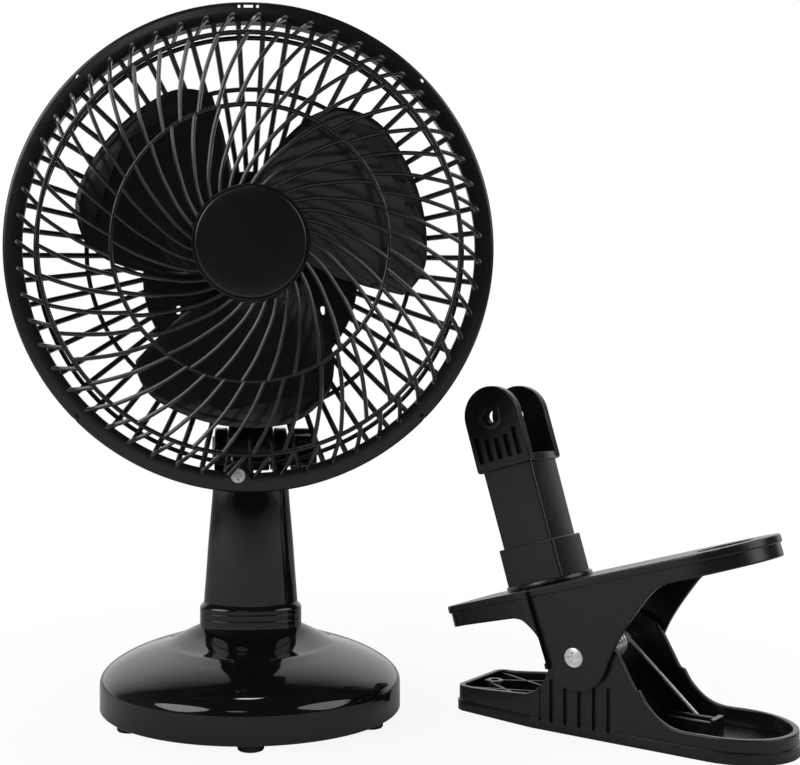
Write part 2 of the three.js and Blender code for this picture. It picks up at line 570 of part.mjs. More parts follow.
function motorHousing() {
  const front = plateBack + gap;
  const { backY } = housing;
  const outside = loft([
    housingRing(front, 0), housingRing(backY - 14, 0, 0.985), housingRing(backY - 6, 0, 0.94),
    housingRing(backY - 2, 0, 0.87), housingRing(backY, 0, housing.backScale),
  ]);
  const inside = loft([
    housingRing(front - 1, wall), housingRing(backY - 14, wall, 0.985), housingRing(backY - 7, wall, 0.94),
    housingRing(backY - wall, wall, 0.85),
  ]);
  const sides = armSides();
  const tongueTrim = [-1, 1].map((side) => {
    const [a, b] = side < 0 ? [-30, -tilt.tongue / 2] : [tilt.tongue / 2, 30];
    return box(a, b, -30, 40, -tiltDrop - 20, -tiltDrop + tilt.earRadius + 1.6);
  });
  const stem = cut(prism('x', sides, -arm.width / 2, arm.width / 2), inside, tongueTrim);
  const bosses = housingScrewSpots.map((spot) => rod('y', housingScrew.boss, front, 6.6, spot, 8));
  const pilots = housingScrewSpots.map((spot) =>
    rod('y', housingScrew.radius + gap, front - 1, front + housingScrew.length, spot, 8));
  const trimmed = bosses.map((boss) => boss.intersect(outside));
  const cross = rod('x', tilt.boltRadius + gap, -30, 30, tiltSpot, 20);
  const knobHole = rod('y', speedKnob.stemRadius + gap, backY - 5, backY + 1, [0, 0, -rearPlate.drop], 16);
  const glandHole = rod('y', gland.radius - 1.5 + gap, backY - 5, backY + 1, glandSpot, 16);
  return cut(join(cut(outside, inside), stem, trimmed), pilots, cross, knobHole, glandHole);
}

const housingScrewPiece = (spot) => join(
  screwHead('y', housingScrew.headRadius, rearPlate.frontY - gap - 1.5, rearPlate.frontY - gap, spot),
  rod('y', housingScrew.radius, rearPlate.frontY - gap - 0.2, plateBack + housingScrew.length - 1, spot, 8),
);

const statorBack = stator.frontY + stator.length;
const limbTop = stator.bottom + limb.height;

// Lamination stack: one frame with the rotor's bore above and the wound limb below.
function statorCore() {
  const frame = box(-stator.halfWidth, stator.halfWidth, stator.frontY, statorBack, stator.bottom, stator.top);
  const corners = [-1, 1].map((side) => prism('y', [
    [side * stator.halfWidth, stator.top + 1], [side * (stator.halfWidth + 1), stator.top],
    [side * (stator.halfWidth + 1), stator.top - 8], [side * (stator.halfWidth - 7), stator.top + 1],
  ], stator.frontY - 1, statorBack + 1));
  const bore = rod('y', stator.bore, stator.frontY - 1, statorBack + 1, [0, 0, 0], 32);
  const window = box(-limb.windowHalfWidth, limb.windowHalfWidth, stator.frontY - 1, statorBack + 1,
    limbTop, limbTop + limb.windowHeight);
  const holes = [-1, 1].map((side) =>
    rod('y', motorScrew.radius + gap, stator.frontY - 1, statorBack + 1, [side * motorScrew.x, 0, 0], 10));
  return cut(frame, corners, bore, window, holes);
}

// The winding wraps the lower limb, and its upper side fills the frame's window.
function statorCoil() {
  const halfLength = limb.windowHalfWidth - gap;
  const outer = box(-halfLength, halfLength, stator.frontY - gap - coil.wrap, statorBack + gap + coil.wrap,
    stator.bottom - gap - coil.wrap, limbTop + limb.windowHeight - gap);
  const core = box(-30, 30, stator.frontY - gap, statorBack + gap, stator.bottom - gap, limbTop + gap);
  return cut(outer, core);
}

// A bridge across the stator's face that carries a bearing; side -1 is the propeller's.
function bearingBracket(side) {
  const near = side < 0 ? stator.frontY - bracket.offset : statorBack + bracket.offset;
  const far = near + side * bracket.thickness;
  const tip = far + side * bracket.bossLength;
  const [low, high] = [Math.min(near, far), Math.max(near, far)];
  const strap = box(-bracket.halfWidth, bracket.halfWidth, low, high, -bracket.halfHeight, bracket.halfHeight);
  const boss = rod('y', bracket.boss, Math.min(near, tip), Math.max(near, tip), [0, 0, 0], 14);
  const pads = [-1, 1].map((end) => rod('y', 3, Math.min(near - side * (bracket.offset - gap), far),
    Math.max(near - side * (bracket.offset - gap), far), [end * motorScrew.x, 0, 0], 8));
  const bore = rod('y', bush.radius + gap, near - 20, near + 20, [0, 0, 0], 12);
  const holes = [-1, 1].map((end) =>
    rod('y', motorScrew.radius + gap, near - 20, near + 20, [end * motorScrew.x, 0, 0], 8));
  return cut(join(strap, boss, pads), bore, holes);
}

function bearingBush(side) {
  const near = side < 0 ? stator.frontY - bracket.offset - bush.length : statorBack + bracket.offset;
  return ring('y', shaft.radius + 0.08, bush.radius, near, near + bush.length, [0, 0, 0], 12);
}

function bracketScrew(side) {
  const spot = [side * motorScrew.x, 0, 0];
  const front = stator.frontY - bracket.offset - bracket.thickness - gap;
  const back = statorBack + bracket.offset + bracket.thickness;
  return join(screwHead('y', motorScrew.headRadius, front - 1.6, front, spot),
    rod('y', motorScrew.radius, front - 0.2, back + 1, spot, 8));
}

const rotorCore = () =>
  ring('y', shaft.radius + gap, rotor.radius, rotor.frontY, rotor.frontY + rotor.length, [0, 0, 0], 24);

const motorShaft = () => rod('y', shaft.radius, shaft.frontY, shaft.backY, [0, 0, 0], 16);

// ---------- speed switch and cord gland ----------
const switchBack = housing.backY - wall - gap;
const glandSpot = [0, 0, -rearPlate.drop - gland.drop + 12];

function switchBody() {
  const { halfSize, depth } = speedSwitch;
  const body = box(-halfSize, halfSize, switchBack - depth, switchBack,
    -rearPlate.drop - halfSize, -rearPlate.drop + halfSize);
  return cut(body, rod('y', speedKnob.stemRadius + gap, switchBack - 4, switchBack + 1,
    [0, 0, -rearPlate.drop], 16));
}

function speedKnobSolid() {
  const start = housing.backY + gap;
  const skirt = turned('y', [
    [0, start], [speedKnob.radius, start], [speedKnob.radius, start + 2.4],
    [speedKnob.radius - 0.8, start + 3], [0, start + 3],
  ], [0, 0, 0], 20);
  const grip = prism('y', [[-1.7, -6.6], [1.7, -6.6], [2.4, 0], [1.7, 7.2], [-1.7, 7.2], [-2.4, 0]],
    start + 2, start + speedKnob.length);
  const stem = rod('y', speedKnob.stemRadius, switchBack - 3.4, start + 1, [0, 0, 0], 16);
  return join(skirt, grip, stem);
}

const cordGland = () => turned('y', [
  [gland.bore, housing.backY - wall - 3], [gland.radius - 1.5, housing.backY - wall - 3],
  [gland.radius - 1.5, housing.backY + gap], [gland.radius, housing.backY + gap],
  [gland.radius - 0.8, housing.backY + 3], [gland.bore + 0.6, housing.backY + 3],
], glandSpot, 14);

// ---------- clip ----------
// The plan of a jaw: a tapered mouth with rounded corners, parallel sides and a round handle end.
function jawPlan(tipX, endX, halfWidth, inset) {
  const [tip, end, side] = [tipX + inset, endX - inset, halfWidth - inset];
  const tipSide = side - tipTaper.halfWidthLoss;
  const corner = Math.max(tipTaper.corner - inset, 0.8);
  const handleReach = halfWidth + 1.5 - inset;
  const shape = new THREE.Shape();
  shape.moveTo(tip + corner, -tipSide);
  shape.lineTo(tipX + tipTaper.length, -side);
  shape.lineTo(end - handleReach, -side);
  shape.absellipse(end - handleReach, 0, handleReach, side, -Math.PI / 2, Math.PI / 2, false);
  shape.lineTo(tipX + tipTaper.length, side);
  shape.lineTo(tip + corner, tipSide);
  shape.absarc(tip + corner, tipSide - corner, corner, Math.PI / 2, Math.PI, false);
  shape.absarc(tip + corner, corner - tipSide, corner, Math.PI, 1.5 * Math.PI, false);
  return shape;
}

// The lower jaw in side view: a low tray that rises into an ear round the pivot.
function lowerSide() {
  const { tipX, endX, tipHeight, handleHeight } = lower;
  const earTop = pivot.height + 11.4;
  const shape = new THREE.Shape();
  shape.moveTo(tipX - 2, 0);
  shape.lineTo(tipX - 2, tipHeight);
  shape.lineTo(-24, tipHeight + 2.4);
  shape.bezierCurveTo(-17, tipHeight + 3, -11.6, 18, -11.4, 24);
  shape.lineTo(-11.4, pivot.height);
  shape.bezierCurveTo(-11.4, earTop - 4, -6, earTop, 0, earTop);
  shape.bezierCurveTo(6, earTop, 10.6, earTop, 13.6, 36);
  shape.lineTo(21.9, 20.9);
  shape.lineTo(23.6, 20);
  shape.lineTo(25.2, 16.6);
  shape.bezierCurveTo(29, 11.6, 34, handleHeight, 42, handleHeight);
  shape.lineTo(endX + 2, handleHeight + 0.6);
  shape.lineTo(endX + 2, 0);
  return shape;
}

const trayRib = (x0, y0, x1, y1, top) => {
  const run = new THREE.Vector2(x1 - x0, y1 - y0).normalize().multiplyScalar(0.6);
  return prism('z', [[x0 - run.y, y0 + run.x], [x0 + run.y, y0 - run.x],
    [x1 + run.y, y1 - run.x], [x1 - run.y, y1 + run.x]], lower.floor - 1, top);
};

function lowerJaw() {
  const { tipX, endX, halfWidth } = lower;
  const body = prism('y', lowerSide(), -halfWidth, halfWidth)
    .intersect(prism('z', jawPlan(tipX, endX, halfWidth, 0), -1, 80));
  const inside = prism('z', jawPlan(tipX, endX, halfWidth, wall), lower.floor, 80);
  const lip = prism('z', jawPlan(tipX - 0.6, endX + 0.6, halfWidth, 0), 0, 4.2);
  const shell = cut(join(body, lip), inside);
  const side = halfWidth - 3.2;
  const ribTop = lower.tipHeight - 0.6;
  const [tipRib, backRib] = [tipX + 3, -16];
  const ribs = [
    trayRib(tipRib, -side + tipTaper.halfWidthLoss, backRib, 0, ribTop),
    trayRib(tipRib, side - tipTaper.halfWidthLoss, backRib, 0, ribTop),
    trayRib(tipRib, 0, backRib - 4, side, ribTop), trayRib(tipRib, 0, backRib - 4, -side, ribTop),
  ];
  const studs = [[-20, 12], [-20, -12], [-47, 0]].map(([x, y]) =>
    rod('z', 3.4, lower.floor - 1, lower.tipHeight, [x, y, 0], 12));
  const seat = cut(box(25, 43, 4, 18, lower.floor - 1, 9.4), box(24, 40.6, 6.4, 15.6, lower.floor, 12));
  const [from, to, cuts] = [-4.5, 25, 5];
  const grooves = [-1, 1].flatMap((s) => Array.from({ length: cuts }, (_, i) => {
    const x = from + i * (to - from) / (cuts - 1);
    const [y0, y1] = [s * (halfWidth - 0.7), s * (halfWidth + 1)].sort((a, b) => a - b);
    return box(x - 1.4, x + 1.4, y0, y1, 2.4, i === cuts - 1 ? 13 : 17.5);
  }));
  const pivotHole = rod('y', pivot.screwRadius + gap, -40, 40, [0, 0, pivot.height], 20);
  return cut(join(shell, ribs, studs, seat), grooves, pivotHole);
}

// The upper jaw in its own frame: u along the plate, v square to it, the pivot at the origin.
function upperSide() {
  const { tipU, endU, plateTop, skirt, earRadius } = upper;
  const skirtBottom = plateTop - skirt;
  const shape = new THREE.Shape();
  shape.moveTo(tipU - 2, plateTop);
  shape.lineTo(tipU - 2, skirtBottom - 0.2);
  shape.lineTo(-22, skirtBottom - 1.2);
  shape.bezierCurveTo(-15, skirtBottom - 2, -11.9, 11, -11.6, 5);
  shape.lineTo(-11.4, -5.1);
  shape.absarc(0, 0, earRadius, Math.PI + 0.42, tau - 0.35, false);
  shape.lineTo(17.9, 2.1);
  shape.bezierCurveTo(25, 9, 32, 17, 44, skirtBottom + 0.3);
  shape.lineTo(endU + 2, skirtBottom + 0.8);
  shape.lineTo(endU + 2, plateTop);
  return shape;
}

function upperJaw() {
  const { tipU, endU, halfWidth, plateTop, plate } = upper;
  const body = prism('y', upperSide(), -halfWidth, halfWidth)
    .intersect(prism('z', jawPlan(tipU + 0.8, endU - 0.8, halfWidth, 0), -40, plateTop + 1));
  const lip = prism('z', jawPlan(tipU, endU, halfWidth + 0.4, 0), plateTop - 3, plateTop);
  const inside = prism('z', jawPlan(tipU + 0.8, endU - 0.8, halfWidth, upper.wall), -40, plateTop - plate);
  const finger = new THREE.Shape();
  finger.absellipse(fingerHole.centreU, 0, fingerHole.halfLength, fingerHole.halfWidth, 0, tau, false);
  const opening = prism('z', finger, 0, plateTop + 5);
  const swivelHole = rod('z', swivelScrew.radius + gap, 0, plateTop + 5, [post.centreU, 0, 0], 16);
  const pivotHole = rod('y', pivot.screwRadius + gap, -40, 40, [0, 0, 0], 20);
  const recesses = [-1, 1].map((side) => rod('y', pivot.recessRadius,
    side < 0 ? -40 : halfWidth - 1, side < 0 ? 1 - halfWidth : 40, [0, 0, 0], 20));
  return cut(join(body, lip), inside, opening, swivelHole, pivotHole, recesses);
}

const pivotNut = { radius: 4, thickness: 3 };
const swivelScrew = { radius: 2.3, headRadius: 4, washerRadius: 6.5, washer: 1 };

function pivotScrew() {
  const seat = -upper.halfWidth + 1 - gap;
  return join(screwHead('y', pivot.headRadius, seat - 1.5, seat),
    rod('y', pivot.screwRadius, seat - 0.2, upper.halfWidth + pivotNut.thickness, [0, 0, 0], 20));
}

function pivotNutSolid() {
  const from = upper.halfWidth - 1 + gap;
  return cut(rod('y', pivotNut.radius, from, from + pivotNut.thickness, [0, 0, 0], 6),
    rod('y', pivot.screwRadius + gap, 0, 60, [0, 0, 0], 20));
}

// The torsion spring, about the pivot: one wire from a leg under the upper jaw's handle, round the
// pivot screw, to a leg in the lower jaw's tray. Each leg leaves the coil at an angle in degrees.
function springWire() {
  const { coilRadius, wireRadius, curls, pitch, upperLeg, lowerLeg } = spring;
  const [startAngle, endAngle] = [radians(upperLeg - 90), radians(lowerLeg + 90)];
  const sweep = curls * tau - (endAngle - startAngle);
  const half = (sweep / tau) * pitch / 2;
  const steps = 8;
  const total = Math.round((sweep / tau) * steps);
  const wound = Array.from({ length: total + 1 }, (_, i) => {
    const angle = startAngle - sweep * i / total;
    return new THREE.Vector3(coilRadius * Math.cos(angle), half * (2 * i / total - 1), coilRadius * Math.sin(angle));
  });
  const clearance = gap + wireRadius;
  const recline = radians(upper.recline);
  const up = legTo(wound[0], radians(upperLeg), new THREE.Vector3(-Math.sin(recline), 0, Math.cos(recline)),
    upper.plateTop - upper.plate - clearance);
  const down = legTo(wound.at(-1), radians(lowerLeg), new THREE.Vector3(0, 0, 1),
    lower.floor + clearance - pivot.height);
  const path = [...up.reverse(), ...wound, ...down];
  const sides = 5;
  const rings = path.map((point, i) => {
    const run = path[Math.min(i + 1, path.length - 1)].clone().sub(path[Math.max(i - 1, 0)]).normalize();
    const outward = new THREE.Vector3(0, 1, 0).cross(run).normalize();
    const sideways = run.clone().cross(outward);
    return Array.from({ length: sides }, (_, k) => point.clone()
      .addScaledVector(outward, wireRadius * Math.cos(k * tau / sides))
      .addScaledVector(sideways, wireRadius * Math.sin(k * tau / sides)).toArray());
  });
  reportSelfGap(path, wireRadius, steps);
  return loft(rings);
}

// Two points along a straight leg, the last where it reaches a plane given by normal and distance.
function legTo(start, angle, normal, distance) {
  const run = new THREE.Vector3(Math.cos(angle), 0, Math.sin(angle));
  const length = (distance - start.dot(normal)) / run.dot(normal);
  return [0.5, 1].map((share) => start.clone().addScaledVector(run, share * length));
}

// Prints the wire's least gap to itself, between points at least half a turn apart.
function reportSelfGap(path, radius, steps) {
  let least = Infinity;
  path.forEach((a, i) => path.slice(i + steps / 2).forEach((b) => {
    least = Math.min(least, a.distanceTo(b));
  }));
  console.log(`clip spring: least gap to itself ${(least - 2 * radius).toFixed(2)} mm`);
}

function swivelBase() {
  const floorV = upper.plateTop + gap;
  const [outer, inner] = [post.collarSide / 2, post.side / 2 + gap];
  const flange = rod('z', post.flangeRadius, floorV, floorV + 1.7, [0, 0, 0], 32);
  const sleeve = box(-outer, outer, -outer, outer, floorV + 1, floorV + 1.7 + post.collarHeight);
  const well = box(-inner, inner, -inner, inner, floorV + 1.7, 90);
  const stud = rod('z', 5, floorV + 1, floorV + 12, [0, 0, 0], 14);
  const bore = rod('z', swivelScrew.radius + gap, 0, floorV + 10, [0, 0, 0], 16);
  return cut(join(cut(join(flange, sleeve), well), stud), bore);
}

// Square tube with a slotted head: two round-topped ears, grooved below the bolt hole.
function postSolid() {
  const start = upper.plateTop + gap + 1.7 + gap;
  const half = post.side / 2;
  const { radius, bottom, hole, halfThickness, floor } = clevis;
  const tube = box(-half, half, -half, half, start, bottom + 1);
  const hollow = box(-half + 2, half - 2, -half + 2, half - 2, start - 1, bottom - 2);
  const ear = new THREE.Shape();
  ear.moveTo(-radius, bottom);
  ear.lineTo(radius, bottom);
  ear.lineTo(radius, hole);
  ear.absarc(0, hole, radius, 0, Math.PI, false);
  const top = prism('y', ear, -halfThickness, halfThickness);
  const slot = box(-30, 30, -tilt.slot / 2, tilt.slot / 2, bottom + floor, 140);
  const boltHole = rod('y', tilt.boltRadius + gap, -40, 40, [0, 0, hole], 16);
  const rings = [-1, 1].map((side) => rod('y', 5.2, side < 0 ? -halfThickness - 0.5 : halfThickness - 1,
    side < 0 ? -halfThickness + 1 : halfThickness + 0.5, [0, 0, hole], 16));
  const grooves = [-1, 1].flatMap((side) => [-2, -1, 0, 1, 2].map((i) => {
    const [y0, y1] = [side * (halfThickness - 0.9), side * (halfThickness + 1)].sort((a, b) => a - b);
    return box(4.3 * i - 1.1, 4.3 * i + 1.1, y0, y1, bottom + 1.2, bottom + 12.5 + 0.6 * i * i);
  }));
  return cut(join(cut(join(tube, top), hollow), rings), slot, boltHole, grooves);
}

function swivelScrewSolid() {
  const seat = upper.plateTop - upper.plate - gap - swivelScrew.washer - gap;
  return join(screwHead('z', swivelScrew.headRadius, seat - 2.4, seat),
    rod('z', swivelScrew.radius, seat - 0.2, upper.plateTop + 9, [0, 0, 0], 16));
}

const swivelWasher = () => {
  const top = upper.plateTop - upper.plate - gap;
  return ring('z', swivelScrew.radius + gap, swivelScrew.washerRadius, top - swivelScrew.washer, top,
    [0, 0, 0], 12);
};

// ---------- assembly ----------
function group(position, children) {
  const node = new THREE.Group();
  node.position.set(...position);
  node.add(...children);
  return node;
}

function placed(mesh, x, y, z) {
  mesh.position.set(x, y, z);
  return mesh;
}

const feet = turns(foot.count, (angle) => radians(angle - 90)).map((angle, i) => placed(
  piece(`base_foot_${i + 1}`, footPad(), rubber),
  foot.circle * Math.cos(angle), foot.circle * Math.sin(angle), 0,
));

const stand = group([0, 0, 0], [
  piece('base_dome', baseDome(), glossBlack),
  piece('base_plate', bottomPlate(), guardBlack),
  piece('base_weight', ballast(), castIron),
  ...feet,
  ...bossAngles.map((angle, i) => piece(`base_screw_${i + 1}`, plateScrew(angle), zinc)),
  piece('neck', neckColumn(), glossBlack),
  placed(piece('neck_screw_left', neckScrew(), zinc), -neck.screwSpacing / 2, 0, 0),
  placed(piece('neck_screw_right', neckScrew(), zinc), neck.screwSpacing / 2, 0, 0),
]);

const rightWasher = piece('tilt_washer_right', tiltWasher(), zinc);
const leftWasher = piece('tilt_washer_left', tiltWasher(), zinc);
leftWasher.rotation.z = Math.PI;
const tiltJoint = group([0, 0, tilt.height], [
  piece('tilt_bolt', tiltBolt(), zinc),
  piece('tilt_nut', tiltNut(), zinc),
  piece('tilt_knob', tiltKnob(), guardBlack),
  leftWasher, rightWasher,
]);

const fanHead = group([0, -head.forward, head.height], [
  piece('front_grille', frontGrille(), guardBlack),
  piece('centre_cap', centreCap(), guardBlack),
  piece('rear_grille', rearGrille(), guardBlack),
  piece('grille_screw', guardScrewPiece(), zinc),
  piece('propeller', propellerSolid(), bladeBlack),
  piece('motor_shaft', motorShaft(), zinc),
  piece('rotor_core', rotorCore(), lamination),
  piece('stator_core', statorCore(), lamination),
  piece('stator_coil', statorCoil(), copper),
  piece('front_bracket', bearingBracket(-1), lamination),
  piece('rear_bracket', bearingBracket(1), lamination),
  piece('front_bush', bearingBush(-1), bronze),
  piece('rear_bush', bearingBush(1), bronze),
  piece('bracket_screw_left', bracketScrew(-1), zinc),
  piece('bracket_screw_right', bracketScrew(1), zinc),
  piece('motor_housing', motorHousing(), guardBlack),
  ...housingScrewSpots.map((spot, i) => piece(`housing_screw_${i + 1}`, housingScrewPiece(spot), zinc)),
  piece('speed_switch', switchBody(), rubber),
  placed(piece('speed_knob', speedKnobSolid(), guardBlack), 0, 0, -rearPlate.drop),
  piece('cord_gland', cordGland(), rubber),
]);

const swivel = group([post.centreU, 0, 0], [
  piece('clip_swivel_base', swivelBase(), clipBlack),
  piece('clip_post', postSolid(), clipBlack),
  piece('clip_swivel_screw', swivelScrewSolid(), zinc),
  piece('clip_swivel_washer', swivelWasher(), zinc),
]);
const upperAssembly = group([0, 0, pivot.height], [piece('clip_upper_jaw', upperJaw(), clipBlack), swivel]);
upperAssembly.rotation.y = -radians(upper.recline);

const clipMount = group([clip.x, clip.y, 0], [
  piece('clip_lower_jaw', lowerJaw(), clipBlack),
  placed(piece('clip_spring', springWire(), springSteel), 0, 0, pivot.height),
  placed(piece('clip_pivot_screw', pivotScrew(), zinc), 0, 0, pivot.height),
  placed(piece('clip_pivot_nut', pivotNutSolid(), zinc), 0, 0, pivot.height),
  upperAssembly,
]);
clipMount.rotation.z = radians(clip.turn);

const fan = group([0, 0, 0], [stand, tiltJoint, fanHead, clipMount]);
const centre = new THREE.Box3().setFromObject(fan, true).getCenter(new THREE.Vector3());
fan.position.set(-centre.x, -centre.y, 0);

export default fan;
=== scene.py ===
import bmesh
import bpy
import numpy as np
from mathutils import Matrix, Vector


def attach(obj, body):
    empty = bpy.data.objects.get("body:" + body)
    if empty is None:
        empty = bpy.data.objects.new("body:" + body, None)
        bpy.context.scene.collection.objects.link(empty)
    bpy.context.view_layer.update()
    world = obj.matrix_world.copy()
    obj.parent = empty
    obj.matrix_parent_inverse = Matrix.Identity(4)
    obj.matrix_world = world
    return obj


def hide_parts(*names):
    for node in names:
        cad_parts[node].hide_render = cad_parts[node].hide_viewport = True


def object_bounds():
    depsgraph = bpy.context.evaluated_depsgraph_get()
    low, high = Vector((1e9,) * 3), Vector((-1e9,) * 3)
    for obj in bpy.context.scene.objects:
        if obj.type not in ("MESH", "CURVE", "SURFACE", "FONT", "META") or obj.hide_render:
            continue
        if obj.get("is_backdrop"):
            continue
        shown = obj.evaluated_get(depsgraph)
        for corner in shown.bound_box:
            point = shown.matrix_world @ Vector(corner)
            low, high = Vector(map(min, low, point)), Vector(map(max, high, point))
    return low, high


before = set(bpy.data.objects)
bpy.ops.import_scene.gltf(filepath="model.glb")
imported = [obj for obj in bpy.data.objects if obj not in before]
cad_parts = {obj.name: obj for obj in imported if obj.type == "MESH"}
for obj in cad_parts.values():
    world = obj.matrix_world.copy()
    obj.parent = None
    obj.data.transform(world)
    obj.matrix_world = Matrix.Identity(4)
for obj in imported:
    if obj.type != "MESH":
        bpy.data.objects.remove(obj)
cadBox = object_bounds()
print("frame loaded")

# view and studio
view = {"place": (-0.05098, -0.47173, 0.12989), "yaw": -3.15, "lens": 54.68, "shift": 0.1029}
cameraData = bpy.data.cameras.new("camera")
cameraData.lens = view["lens"]
cameraData.sensor_width = 36
cameraData.shift_x = view["shift"]
cameraData.clip_start = 0.01
camera = bpy.data.objects.new("camera", cameraData)
camera.location = view["place"]
camera.rotation_euler = np.radians((90, 0, view["yaw"]))
bpy.context.scene.collection.objects.link(camera)
bpy.context.scene.camera = camera
bpy.context.scene.view_settings.view_transform = "Standard"


# materials
# a socket that does its own arithmetic, so a pattern reads as a sum
class Wire:
    def __init__(self, finish, socket):
        self.finish = finish
        self.socket = socket

    def sum(self, operation, first, second=0.0, clamp=False):
        settings = {"operation": operation, "use_clamp": clamp}
        return self.finish.add("ShaderNodeMath", settings, {0: first, 1: second})

    def __add__(self, other): return self.sum("ADD", self, other)
    def __radd__(self, other): return self.sum("ADD", other, self)
    def __sub__(self, other): return self.sum("SUBTRACT", self, other)
    def __rsub__(self, other): return self.sum("SUBTRACT", other, self)
    def __mul__(self, other): return self.sum("MULTIPLY", self, other)
    def __rmul__(self, other): return self.sum("MULTIPLY", other, self)
    def clamped(self): return self.sum("ADD", self, 0.0, True)
    def wave(self): return self.sum("SINE", self)


class Finish:
    def __init__(self, owner):
        self.tree = owner.node_tree
        self.tree.nodes.clear()

    # any node: its kind, its settings, then its inputs by name or place
    def add(self, kind, settings=None, inputs=None, output=0):
        node = self.tree.nodes.new(kind)
        for key, value in (settings or {}).items():
            setattr(node, key, value)
        for key, value in (inputs or {}).items():
            if isinstance(value, Wire):
                self.tree.links.new(value.socket, node.inputs[key])
            else:
                node.inputs[key].default_value = value
        return Wire(self, node.outputs[output]) if node.outputs else None

    def place(self, scale=(1, 1, 1)):
        coordinates = self.add("ShaderNodeTexCoord", output="Object")
        return self.add("ShaderNodeVectorMath", {"operation": "MULTIPLY"}, {0: coordinates, 1: scale})

    def noise(self, scale, detail):
        return self.add("ShaderNodeTexNoise", {}, {"Vector": self.place(), "Scale": scale, "Detail": detail})

    def along(self, vector, axis):
        return self.add("ShaderNodeSeparateXYZ", {}, {0: vector}, axis)

    def ray(self, kind):
        return self.add("ShaderNodeLightPath", output=f"Is {kind} Ray")

    def blend(self, share, low, high):
        return self.add("ShaderNodeMix", {"data_type": "RGBA"}, {0: share, 6: low, 7: high}, 2)


def newMaterial(name):
    material = bpy.data.materials.new(name)
    material.use_nodes = True
    return material, Finish(material)


def plastic(name, look):
    # black moulding: a faint cloud in the colour, haze in the gloss, and the mould's skin as a bump
    material, finish = newMaterial(name)
    cloud = finish.noise(look["cloud"], 3.0)
    skin = finish.noise(look["skin"], 2.0)
    haze = finish.noise(look["haze"], 4.0)
    dark, pale = [(*np.array(look["colour"]) * k, 1) for k in (0.82, 1.22)]
    height = skin * look["grain"] + cloud * look["ripple"]
    bump = finish.add("ShaderNodeBump", {}, {"Strength": look["relief"], "Distance": 0.0002, "Height": height})
    shader = finish.add("ShaderNodeBsdfPrincipled", {}, {
        "Base Color": finish.blend(cloud, dark, pale),
        "Roughness": (look["rough"] + (haze - 0.5) * look["smear"]).clamped(),
        "Normal": bump,
    })
    finish.add("ShaderNodeOutputMaterial", {}, {"Surface": shader})
    return material


def metal(name, look):
    # plated or bare metal: grains in the colour, brushed haze in the gloss, lines where it is built of layers
    material, finish = newMaterial(name)
    grain = finish.noise(look["grain"], 3.0)
    low, high = [(*np.array(look["colour"]) * k, 1) for k in (look.get("dim", 0.85), 1.05)]
    height = grain
    if look.get("layers"):
        across = finish.along(finish.place(), look["axis"])
        height = grain * 0.3 + (across * (2 * np.pi / look["layers"])).wave() * 0.7
    bump = finish.add("ShaderNodeBump", {}, {"Strength": look["relief"], "Distance": 0.0002, "Height": height})
    shader = finish.add("ShaderNodeBsdfPrincipled", {}, {
        "Base Color": finish.blend(grain, low, high), "Metallic": look.get("metallic", 1.0),
        "Roughness": (look["rough"] + (grain - 0.5) * look["smear"]).clamped(), "Normal": bump,
    })
    finish.add("ShaderNodeOutputMaterial", {}, {"Surface": shader})
    return material


glossBlack = plastic("glossBlack", {
    "colour": (0.0050, 0.0050, 0.0052), "rough": 0.055, "smear": 0.05, "cloud": 45, "skin": 420, "haze": 160,
    "grain": 0.4, "ripple": 1.0, "relief": 0.03})
guardBlack = plastic("guardBlack", {
    "colour": (0.0062, 0.0062, 0.0063), "rough": 0.25, "smear": 0.10, "cloud": 60, "skin": 1500, "haze": 220,
    "grain": 0.6, "ripple": 0.5, "relief": 0.035})
bladeBlack = plastic("bladeBlack", {
    "colour": (0.0088, 0.0098, 0.0114), "rough": 0.15, "smear": 0.06, "cloud": 40, "skin": 900, "haze": 120,
    "grain": 0.4, "ripple": 0.8, "relief": 0.05})
clipBlack = plastic("clipBlack", {
    "colour": (0.0072, 0.0071, 0.0070), "rough": 0.27, "smear": 0.14, "cloud": 70, "skin": 1900, "haze": 150,
    "grain": 0.8, "ripple": 0.6, "relief": 0.06})
rubber = plastic("rubber", {
    "colour": (0.0120, 0.0120, 0.0125), "rough": 0.72, "smear": 0.20, "cloud": 300, "skin": 3500, "haze": 500,
    "grain": 1.2, "ripple": 0.2, "relief": 0.30})
zinc = metal("zinc", {
    "colour": (0.86, 0.90, 0.93), "metallic": 0.35, "rough": 0.24, "smear": 0.25, "grain": 1500, "relief": 0.12})
springSteel = metal("springSteel", {
    "colour": (0.80, 0.80, 0.79), "metallic": 0.6, "rough": 0.16, "smear": 0.10, "grain": 900, "relief": 0.06})
castIron = metal("castIron", {
    "colour": (0.10, 0.10, 0.105), "rough": 0.62, "smear": 0.3, "grain": 600, "relief": 0.6, "dim": 0.6})
lamination = metal("lamination", {
    "colour": (0.17, 0.175, 0.18), "rough": 0.42, "smear": 0.2, "grain": 700, "relief": 0.5, "layers": 0.0005,
    "axis": 1})
copperWire = metal("copperWire", {
    "colour": (0.42, 0.15, 0.055), "rough": 0.34, "smear": 0.2, "grain": 800, "relief": 0.6, "layers": 0.0004,
    "axis": 0, "dim": 0.7})
bronze = metal("bronze", {
    "colour": (0.34, 0.21, 0.09), "rough": 0.4, "smear": 0.2, "grain": 1200, "relief": 0.3})
slotFinish = {
    "gloss_black": glossBlack, "guard_black": guardBlack, "blade_black": bladeBlack, "clip_black": clipBlack,
    "rubber_black": rubber, "zinc": zinc, "spring_steel": springSteel, "weight_iron": castIron,
    "lamination": lamination, "copper_wire": copperWire, "bronze": bronze}
print("materials made")

